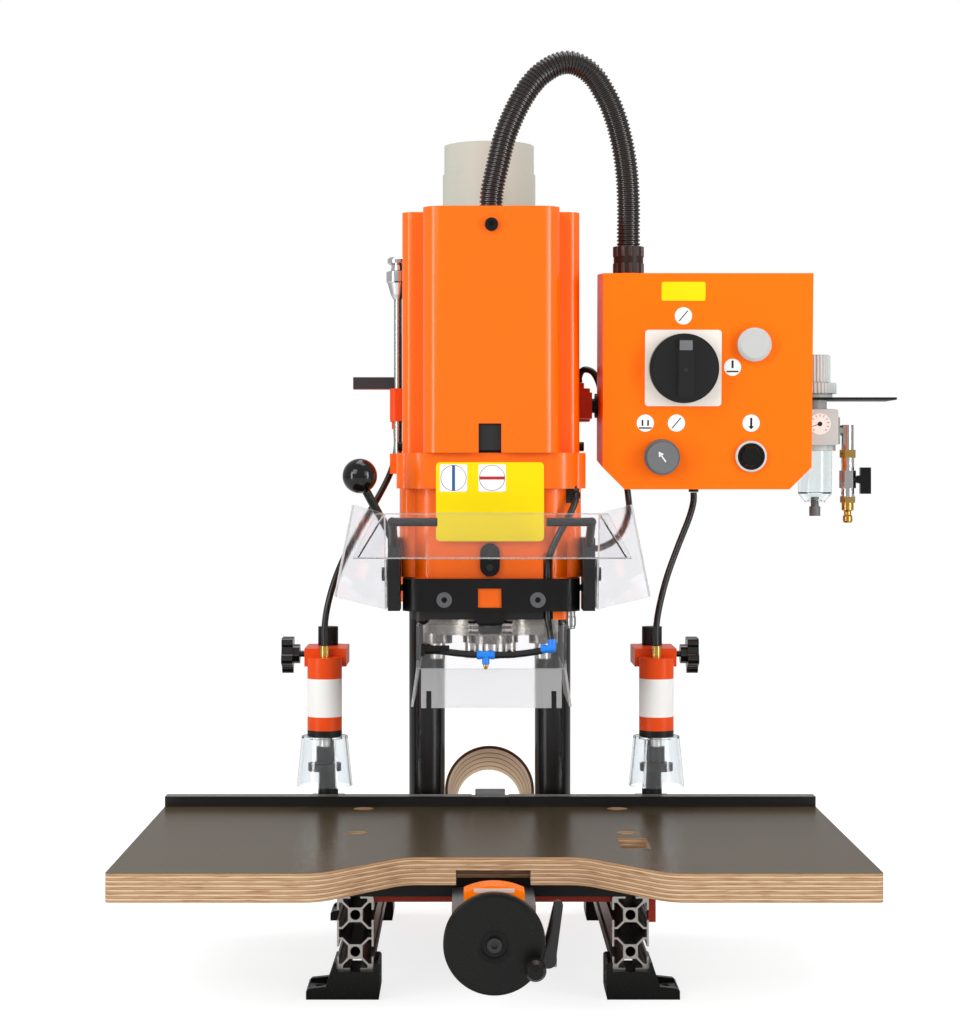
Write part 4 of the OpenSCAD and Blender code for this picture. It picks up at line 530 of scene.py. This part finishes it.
def from_nodes(holder, tree, values, name, sharp=40):
    """Runs a geometry node tree on an object and returns its result as a plain mesh piece."""
    modifier = holder.modifiers.new("made", "NODES")
    modifier.node_group = tree
    for item in tree.interface.items_tree:
        if item.in_out == "INPUT" and item.name in values:
            modifier[item.identifier] = values[item.name]
    bpy.context.view_layer.update()
    mesh = bpy.data.meshes.new_from_object(holder.evaluated_get(bpy.context.evaluated_depsgraph_get()))
    bpy.data.objects.remove(holder)
    mesh.name = name
    mesh.shade_smooth()
    mesh.set_sharp_from_angle(angle=math.radians(sharp))
    made = bpy.data.objects.new(name, mesh)
    scene.collection.objects.link(made)
    return made


def hose(name, route, radius, look, pitch=8.0, depth=0.0, sides=14, steps=6):
    """A hose along the route, with its centreline in metres."""
    line = [p * MM for p in spline(route, steps)]
    curve = bpy.data.curves.new(name + "_line", "CURVE")
    curve.dimensions = "3D"
    path = curve.splines.new("POLY")
    path.points.add(len(line) - 1)
    for point, at in zip(path.points, line):
        point.co = (*at, 1.0)
    holder = bpy.data.objects.new(name + "_line", curve)
    scene.collection.objects.link(holder)
    made = from_nodes(holder, hose_tree, {"Radius": radius * MM, "Rib pitch": pitch * MM, "Rib depth": depth * MM,
                                          "Sides": sides, "Material": look}, name)
    return made, line


conduit_route = [
    (1, 20, 878), (1, 20, 905), (8, 21, 940), (20, 24, 985), (42, 28, 1030), (66, 33, 1057),
    (94, 38, 1068), (120, 43, 1057), (139, 47, 1031), (152, 50, 1002), (161, 53, 968),
    (166, 55, 935), (168, 56, 900), (168, 57, 866), (168, 57, 846), (168, 57, 826)]
bundle_route = [
    (112, 136, 684.2), (112, 136, 692), (117, 131, 700), (128, 126, 697), (136, 124, 682), (141, 124, 655),
    (150, 126, 630), (162, 132, 602), (169, 134, 568), (172, 120, 543), (171, 92, 522), (162, 62, 502),
    (149, 38, 488), (132, 25, 480.5), (124, 24, 480), (116.4, 24, 480)]
blow_route = [(-78, -66, 366), (-60, -67, 364), (-34, -68, 361), (-6.6, -68, 359.5), (24, -68, 360), (50, -67, 363),
              (69, -66, 367)]
feed_route = [(70.5, -65, 372), (69, -62, 382), (67, -55.5, 394), (66, -53, 404), (66, -53, 430), (66, -53.4, 452),
              (67, -56, 468), (70, -62.5, 480), (77, -64, 496), (87, -61.5, 514), (95, -58.5, 530), (98.6, -54, 541),
              (99, -50, 545), (99, -46.8, 545)]
hose_left_route = [(-201.5, 50, 361.3), (-201.5, 50, 385), (-198, 52, 410), (-190, 60, 440), (-178, 74, 470),
                   (-160, 98, 505), (-140, 128, 540), (-125, 155, 572), (-118, 165, 600), (-118, 166, 626.2)]
hose_right_route = [(201.5, 50, 361.3), (201.5, 50, 385), (206, 52, 412), (215, 56, 445), (228, 60, 480),
                    (242, 62, 515), (247.6, 63, 535), (248, 63, 547.4)]

conduit, line = hose("motor_conduit", conduit_route, 14.2, conduit_plastic, pitch=4.6, depth=1.9, sides=28)
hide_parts("conduit_and_hoses")
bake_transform(conduit)

bundle, line = hose("head_air_hose", bundle_route, 4, black_rubber)
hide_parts("conduit_and_hoses")
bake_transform(bundle)

blow, line = hose("blow_off_hose", blow_route, 4, black_rubber)
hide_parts("blow_off_line")
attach(blow, "head")

feed, line = hose("blow_off_feed_hose", feed_route, 4, black_rubber)
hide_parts("blow_off_line")
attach(feed, "head")

# Each clamp's air hose is drawn in two lengths that meet on a point fixed to the bench: the lower one runs
# from the clamp along its post, the upper one from there on to the carriage
for side, route, cut in (("left", hose_left_route, 24), ("right", hose_right_route, 24)):
    whole = spline(route, 6)
    lengths = (("lower", whole[:cut + 1], "clamp_" + side), ("upper", whole[:cut - 1:-1], "carriage"))
    for part, points, body in lengths:
        air, line = hose("clamp_air_hose_%s_%s" % (side, part), points, 4, black_rubber, steps=1)
        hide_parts("clamp_hoses")
        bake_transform(air)


def duct_finish():
    """Thin tan polyurethane duct that lets light through; its brown wire shows as a line on every fourth rib."""
    made = bpy.data.materials.new("tan_ribbed_polyurethane")
    made.use_nodes = True
    tree = made.node_tree
    tree.nodes.clear()
    place = add(tree, "ShaderNodeTexCoord").outputs["Object"]
    along = add(tree, "ShaderNodeUVMap", uv_map="length")
    axes = add(tree, "ShaderNodeSeparateXYZ", {0: along.outputs[0]})
    part = add(tree, "ShaderNodeMath", {0: axes.outputs[0], 1: 4.0}, operation="FLOORED_MODULO")
    wire = add(tree, "ShaderNodeMath", {0: part.outputs[0], 1: 0.35}, operation="LESS_THAN")
    cloud = add(tree, "ShaderNodeTexNoise", {"Vector": place, "Scale": 60.0, "Detail": 4.0})
    skin = add(tree, "ShaderNodeMix", {0: cloud.outputs[0], 6: linear("#E6D8C6"), 7: linear("#F3E9DC")},
               data_type="RGBA")
    colour = add(tree, "ShaderNodeMix", {0: wire.outputs[0], 6: skin.outputs[2], 7: linear("#6B4A30")},
                 data_type="RGBA")
    bump = add(tree, "ShaderNodeBump", {"Strength": 0.3, "Distance": 0.0002, "Height": cloud.outputs[0]})
    shader = add(tree, "ShaderNodeBsdfPrincipled", {"Base Color": colour.outputs[2], "Roughness": 0.36,
                                                    "Normal": bump.outputs[0]})
    through = add(tree, "ShaderNodeBsdfTranslucent", {"Color": colour.outputs[2]})
    mixed = add(tree, "ShaderNodeMixShader", {0: 0.55, 1: shader.outputs[0], 2: through.outputs[0]})
    add(tree, "ShaderNodeOutputMaterial", {"Surface": mixed.outputs[0]})
    return made


def make_duct():
    """The duct as a turned wall with round ribs, its mouth behind the fence."""
    length, ribs, mouth_r, tail_r, wall, rib_height = 146.0, 20, 57.0, 46.0, 1.6, 1.1
    mouth_at, turn_degrees = (0, 190, 166), -104
    per_rib, steps = 6, 96
    place = Matrix.Translation(mouth_at) @ Matrix.Rotation(math.radians(turn_degrees), 4, "X")
    rows = []
    for k in range(ribs * per_rib + 1):
        t = k / per_rib
        swell = rib_height * math.cos(math.tau * t) - 1.2
        rows.append((mouth_r + (tail_r - mouth_r) * t / ribs + swell, length * t / ribs, t))
    bm = bmesh.new()
    uv = bm.loops.layers.uv.new("length")
    rings = []
    for inner in (0, 1):
        for r, h, t in (rows if not inner else rows[::-1]):
            rings.append(([bm.verts.new(place @ Vector(((r - inner * wall) * math.cos(math.tau * j / steps),
                                                        (r - inner * wall) * math.sin(math.tau * j / steps), h)))
                           for j in range(steps)], t))
    for (a, ta), (b, tb) in zip(rings, rings[1:] + rings[:1]):
        for j in range(steps):
            n = (j + 1) % steps
            face = bm.faces.new((a[j], a[n], b[n], b[j]))
            for loop, t in zip(face.loops, (ta, ta, tb, tb)):
                loop[uv].uv = (t, j / steps)
    made = piece("ribbed_chip_duct", "carriage", duct_finish(), bm, sharp=60)
    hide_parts("suction_duct")


make_duct()


def marks(name, body, look, shapes):
    """One piece of several flat plates; each shape is (outline, thickness, place, bevel)."""
    bm = bmesh.new()
    for outline, thick, place, bevel in shapes:
        plate(bm, outline, thick, place, bevel)
    return piece(name, body, look, bm)


def bar(w, h):
    """Outline of a plain rectangle, centred."""
    return [(-w / 2, -h / 2), (w / 2, -h / 2), (w / 2, h / 2), (-w / 2, h / 2)]


def ring_shapes(place_of, radius, wide, thick, steps=40):
    """A flat ring as a band of short plates."""
    inner = radius - wide
    turns = [math.tau * k / steps for k in range(steps + 1)]
    return [([(inner * math.cos(a), inner * math.sin(a)), (radius * math.cos(a), radius * math.sin(a)),
              (radius * math.cos(b), radius * math.sin(b)), (inner * math.cos(b), inner * math.sin(b))],
             thick, place_of, 0) for a, b in zip(turns, turns[1:])]


head_label = facing_front((-1.7, -62.3, 537.5))
marks("head_label_plate", "head", yellow_film, [(rounded(126, 93, 5), 1.2, head_label, 0.3)])
first = head_label @ Matrix.Translation((-42.5, 28, 1.2))
second = head_label @ Matrix.Translation((2.5, 28, 1.2))
marks("head_label_white_fields", "head", white_film,
      [(rounded(32, 32, 2), 0.25, first, 0), (rounded(32, 32, 2), 0.25, second, 0)])
# Plain diagrams of the two swivel positions of the bit row
lift = Matrix.Translation((0, 0, 0.26))
marks("head_label_rings", "head", black_paint,
      ring_shapes(first @ lift, 15, 0.5, 0.12) + ring_shapes(second @ lift, 15, 0.5, 0.12))
marks("head_label_blue_bar", "head", blue_print, [(bar(3.6, 29), 0.14, first @ lift, 0)])
marks("head_label_red_bar", "head", red_print, [(bar(29, 3.6), 0.14, second @ lift, 0)])
bm = bmesh.new()
plate(bm, rounded(23, 38, 11.4, 10), 5, facing_front((-1.7, -55.8, 469.5)), 1.0)
piece("head_front_slotted_cap", "head", black_nylon, bm)
# Painted shade: dark plates on the cap stand in for the shade inside its slot and hole
marks("head_front_slot_hole_shade", "head", painted_recess_shade,
      [(rounded(5, 12, 2.4), 0.3, facing_front((-1.7, -60.85, 480)), 0),
       (rounded(8, 8, 3.9, 8), 0.3, facing_front((-1.7, -60.85, 461)), 0)])

marks("box_label_plate", "carriage", yellow_film,
      [(rounded(52, 22.4, 2.5), 0.5, on_box(-29.3, 106.6), 0.1)])
disc_places = [(-29.3, 77.6), (29.2, 16.9), (-73.7, -49.2), (-36.8, -49.2), (51.8, -49.2)]
marks("box_marking_discs", "carriage", white_film,
      [(round_outline(10.2), 0.5, on_box(x, z), 0.1) for x, z in disc_places])
slash = Matrix.Rotation(math.radians(-40), 4, "Z")
marks("box_disc_marks", "carriage", black_paint, [
    (bar(1.2, 16), 0.12, on_box(-29.3, 77.6, 0.5) @ slash, 0),
    (bar(1.2, 16), 0.12, on_box(-36.8, -49.2, 0.5) @ slash, 0),
    (bar(2.6, 10), 0.12, on_box(51.8, -47.8, 0.5), 0),
    ([(-3.6, 0), (0, -4), (3.6, 0)], 0.12, on_box(51.8, -52.8, 0.5), 0),
    (bar(14, 1.7), 0.12, on_box(29.2, 12, 0.5), 0), (bar(2.4, 9), 0.12, on_box(29.2, 20.5, 0.5), 0),
    (bar(15, 1.7), 0.12, on_box(-73.7, -55, 0.5), 0), (bar(2, 7), 0.12, on_box(-77, -49, 0.5), 0),
    (bar(2, 7), 0.12, on_box(-70.4, -49, 0.5), 0)])

marks("switch_plate", "carriage", switch_cream,
      [(rounded(90.4, 90.4, 4), 3.2, on_box(-29.3, 16.1), 0.6)])
marks("switch_window", "main_switch", grey_plastic,
      [(rounded(15, 11.5, 1), 0.3, on_box(-29.3, 16.1 + 27.4, 37.35), 0.1)])
# Painted shade: a dark disc stands in for the shade in the switch's screw recess
marks("switch_screw_recess_shade", "main_switch", painted_recess_shade, [(round_outline(2.6), 0.15, on_box(-29.3, 15, 37.35), 0)])
pointer = on_box(-54.2, -89.1, 20.3) @ Matrix.Rotation(math.radians(35), 4, "Z")
marks("selector_arrow", "selector", white_film, [
    (bar(1.6, 12), 0.2, pointer, 0), ([(-3.4, 3), (3.4, 3), (0, 9)], 0.2, pointer, 0)])


def turned(name, body, slot, look, parts, steps=32):
    """One piece of several turned parts; each part is (profile, place)."""
    bm = bmesh.new()
    for profile, place in parts:
        lathe(bm, profile, place, steps)
    return piece(name, body, look, bm)


def standing(x, y, z):
    """Places a turned profile upright."""
    return Matrix.Translation((x, y, z))


def lying(x, y, z):
    """Places a turned profile along +X."""
    return Matrix.Translation((x, y, z)) @ Matrix.Rotation(math.radians(90), 4, "Y")


def barrel(r, length, lip=0.6):
    """Profile of a round bar with broken edges."""
    return [(0, 0), (r - lip, 0), (r, lip), (r, length - lip), (r - lip, length), (0, length)]


def fluted(r, depth, count, steps=4):
    """Outline of a round knob with scallops in its rim."""
    total = count * steps
    return [((r - depth * (k % steps >= steps // 2)) * math.cos(math.tau * k / total),
             (r - depth * (k % steps >= steps // 2)) * math.sin(math.tau * k / total)) for k in range(total)]


# Gland nut that holds the conduit on the box
bm = bmesh.new()
for low, high in ((813.5, 826), (834, 846.4)):
    plate(bm, fluted(18.9, 1.6, 12), high - low, standing(168, 57, low), 0.5)
piece("conduit_gland_nut", "carriage", gland_brown, bm)

# Push button: pale ring round a black collar
at = on_box(51.8, -88.6)
turned("button_ring", "carriage", None, knob_grey,
       [([(15.8, 0), (18.6, 0), (18.6, 4.2), (17.8, 5), (16.4, 5), (15.8, 4.2)], at)], 48)
turned("button_collar", "carriage", None, black_nylon, [([(11.7, 0), (15.9, 0), (15.9, 4.5), (11.7, 4.5)], at)], 48)

# Blow-off line: push-in tee and elbow, brass nozzle, and the plug that ends it on the left
tee_x, tee_z = -6.6, 359.5
collared = [(0, 0), (4.5, 0), (5.2, 0.7), (5.2, 4.6), (4.7, 5.1), (4.7, 15.9), (5.2, 16.4), (5.2, 20.3),
            (4.5, 21), (0, 21)]
elbow = [(0, 0), (4.4, 0), (5.3, 0.9), (5.3, 5), (4.9, 5.6), (4.9, 11), (4, 13.6), (2.2, 15.2), (0, 15.8)]
turned("blow_off_fittings", "head", None, blue_plastic, [
    (collared, lying(tee_x - 10.5, -68, tee_z)),
    (barrel(4.4, 11), standing(tee_x, -68, tee_z - 11)),
    (elbow, lying(57, -66.3, 366.4)),
    (elbow, standing(70.6, -65.3, 377.4) @ Matrix.Rotation(math.radians(174), 4, "X"))])
turned("blow_off_nozzle", "head", None, brass, [
    ([(0, 0), (1.5, 0), (2.3, 1.2), (2.3, 2.6), (3.2, 3.1), (3.2, 6.4), (0, 6.4)], standing(tee_x, -68, 343))])
bm = bmesh.new()
lathe(bm, barrel(5.2, 28), lying(-77, -66.3, 365.4))
plate(bm, rounded(4.6, 15, 1.4), 11, facing_front((-79.4, -60.8, 365.8)), 0.5)
piece("blow_off_plug", "head", black_nylon, bm)

# Index block of the swivel below the band, with its two spring packs
bm = bmesh.new()
plate(bm, rounded(24.4, 15.5, 1.5), 16, facing_front((-1.2, -38, 390.6)), 0.6)
piece("swivel_index_block", "head", black_nylon, bm)
spring = [(0, 0)] + [p for k in range(4) for p in ((4.1, 3.2 * k + 0.1), (4.7, 3.2 * k + 0.6), (4.7, 3.2 * k + 2.4),
                                                    (4.1, 3.2 * k + 2.9), (3.4, 3.2 * k + 3.1))] + [(0, 12.9)]
turned("swivel_spring_packs", "head", None, turned_steel, [
    (spring, lying(x, -46, z)) for x in (-27.2, 12.2) for z in (393.2, 387)])
# Pin under the right end of the band
turned("guard_pin", "head", None, steel_zinc, [
    ([(0, 0), (4.4, 0), (5, 0.7), (5, 3), (5.8, 3.6), (5.8, 13.8), (5, 14.4), (5, 20.8), (0, 20.8)],
     standing(93.3, -52, 389))])

# Stubs at the cover's sides, and a dark plate behind its slot: painted shade of the interior where the counter sits
turned("cover_stubs", "head", None, black_nylon, [
    (barrel(5.6, 8), lying(s * 108.4 - 4, 30, 603)) for s in (-1, 1)])
# Painted shade: a dark plate behind the slot stands in for the shaded interior
marks("cover_slot_interior_shade", "head", painted_recess_shade, [(bar(34, 38), 1.5, facing_front((-1.7, -66.5, 617)), 0)])

marks("counter_window", "base", window_strip,
      [(rounded(42, 4.6, 0.8), 0.4, facing_front((0, -373, 141.1)), 0.1)])

# Air unit: gauge, ring nut and the ribs of the regulator knob
gauge = facing_front((410, 114, 632))
marks("gauge_panel", "carriage", unit_grey, [(rounded(48, 44, 2), 12, facing_front((409, 126, 628)), 0.8)])
marks("gauge_face", "carriage", white_film, [(round_outline(13.4), 0.6, gauge, 0.1)])
marks("gauge_marks", "carriage", black_paint, [
    (bar(0.7, 2.6), 0.1, gauge @ Matrix.Rotation(math.radians(a), 4, "Z") @ Matrix.Translation((0, 10.6, 0.6)), 0)
    for a in range(-135, 136, 27)] + [
    (bar(0.8, 10), 0.1, gauge @ Matrix.Rotation(math.radians(108), 4, "Z") @ Matrix.Translation((0, 4, 0.72)), 0),
    (round_outline(2.8, 24), 0.5, gauge @ Matrix.Translation((0, 0, 0.6)), 0.1)])
bm = bmesh.new()
plate(bm, fluted(27, 1.0, 36), 13.4, standing(409, 150, 670.5), 0.4)
piece("regulator_ring_nut", "carriage", unit_grey, bm)
bm = bmesh.new()
plate(bm, fluted(19.5, 1.1, 28), 33.5, standing(409, 150, 685), 0.5)
piece("regulator_knob_ribs", "regulator_knob", unit_grey, bm)


def pale_floor():
    """Pale plain floor: seen white, with the machine's soft shadow left on it."""
    bm = bmesh.new()
    plate(bm, bar(60000, 60000), 2, Matrix.Translation((0, 0, -2.05)))
    mesh = bpy.data.meshes.new("studio_floor")
    bmesh.ops.scale(bm, verts=bm.verts, vec=(MM, MM, MM))
    bm.to_mesh(mesh)
    bm.free()
    floor = bpy.data.objects.new("studio_floor", mesh)
    scene.collection.objects.link(floor)
    look = bpy.data.materials.new("pale_floor")
    look.use_nodes = True
    tree = look.node_tree
    tree.nodes.clear()
    path = add(tree, "ShaderNodeLightPath")
    matt = add(tree, "ShaderNodeBsdfDiffuse", {"Color": (0.8, 0.8, 0.8, 1)})
    dim = add(tree, "ShaderNodeBsdfDiffuse", {"Color": (0.42, 0.42, 0.42, 1)})
    glow = add(tree, "ShaderNodeEmission", {"Color": (1, 1, 1, 1), "Strength": 0.80})
    both = add(tree, "ShaderNodeAddShader", {0: dim.outputs[0], 1: glow.outputs[0]})
    seen = add(tree, "ShaderNodeMath", {0: path.outputs["Is Camera Ray"], 1: path.outputs["Is Transmission Ray"]},
               operation="MAXIMUM")
    chosen = add(tree, "ShaderNodeMixShader", {0: seen.outputs[0], 1: matt.outputs[0], 2: both.outputs[0]})
    add(tree, "ShaderNodeOutputMaterial", {"Surface": chosen.outputs[0]})
    mesh.materials.append(look)


def white_world(light, seen):
    """World that lights the machine softly and that the camera and clear sheets see as white."""
    world = bpy.data.worlds.new("studio_world")
    scene.world = world
    world.use_nodes = True
    tree = world.node_tree
    tree.nodes.clear()
    path = add(tree, "ShaderNodeLightPath")
    ray = add(tree, "ShaderNodeMath", {0: path.outputs["Is Camera Ray"], 1: path.outputs["Is Transmission Ray"]},
              operation="MAXIMUM")
    bright = add(tree, "ShaderNodeMix", {0: ray.outputs[0], 2: light, 3: seen}, data_type="FLOAT")
    sky = add(tree, "ShaderNodeBackground", {"Color": (1, 1, 1, 1), "Strength": bright.outputs[0]})
    add(tree, "ShaderNodeOutputWorld", {"Surface": sky.outputs[0]})


def soft_lamp(name, at_m, wide_m, high_m, watts, aim_m=(0, 0, 0.5)):
    """A soft box that looks at the machine."""
    data = bpy.data.lights.new(name, "AREA")
    data.shape = "RECTANGLE"
    data.size = wide_m
    data.size_y = high_m
    data.energy = watts
    lamp = bpy.data.objects.new(name, data)
    scene.collection.objects.link(lamp)
    lamp.location = at_m
    lamp.rotation_mode = "QUATERNION"
    lamp.rotation_quaternion = (Vector(aim_m) - Vector(at_m)).to_track_quat("-Z", "Y")


pale_floor()
white_world(0.55, 1.0)
soft_lamp("key_softbox", (-1.6, -2.2, 1.9), 1.4, 1.4, 28)
soft_lamp("fill_softbox", (2.0, -1.9, 1.3), 1.4, 1.4, 14)
soft_lamp("top_softbox", (0.2, 0.4, 2.6), 1.6, 1.6, 26)
# Tall strips at the sides draw the long highlights on rounded edges and columns
for side in (-1, 1):
    soft_lamp("strip_" + ("left" if side < 0 else "right"), (side * 1.9, -1.4, 0.75), 0.45, 1.6, 18, (0, 0, 0.75))
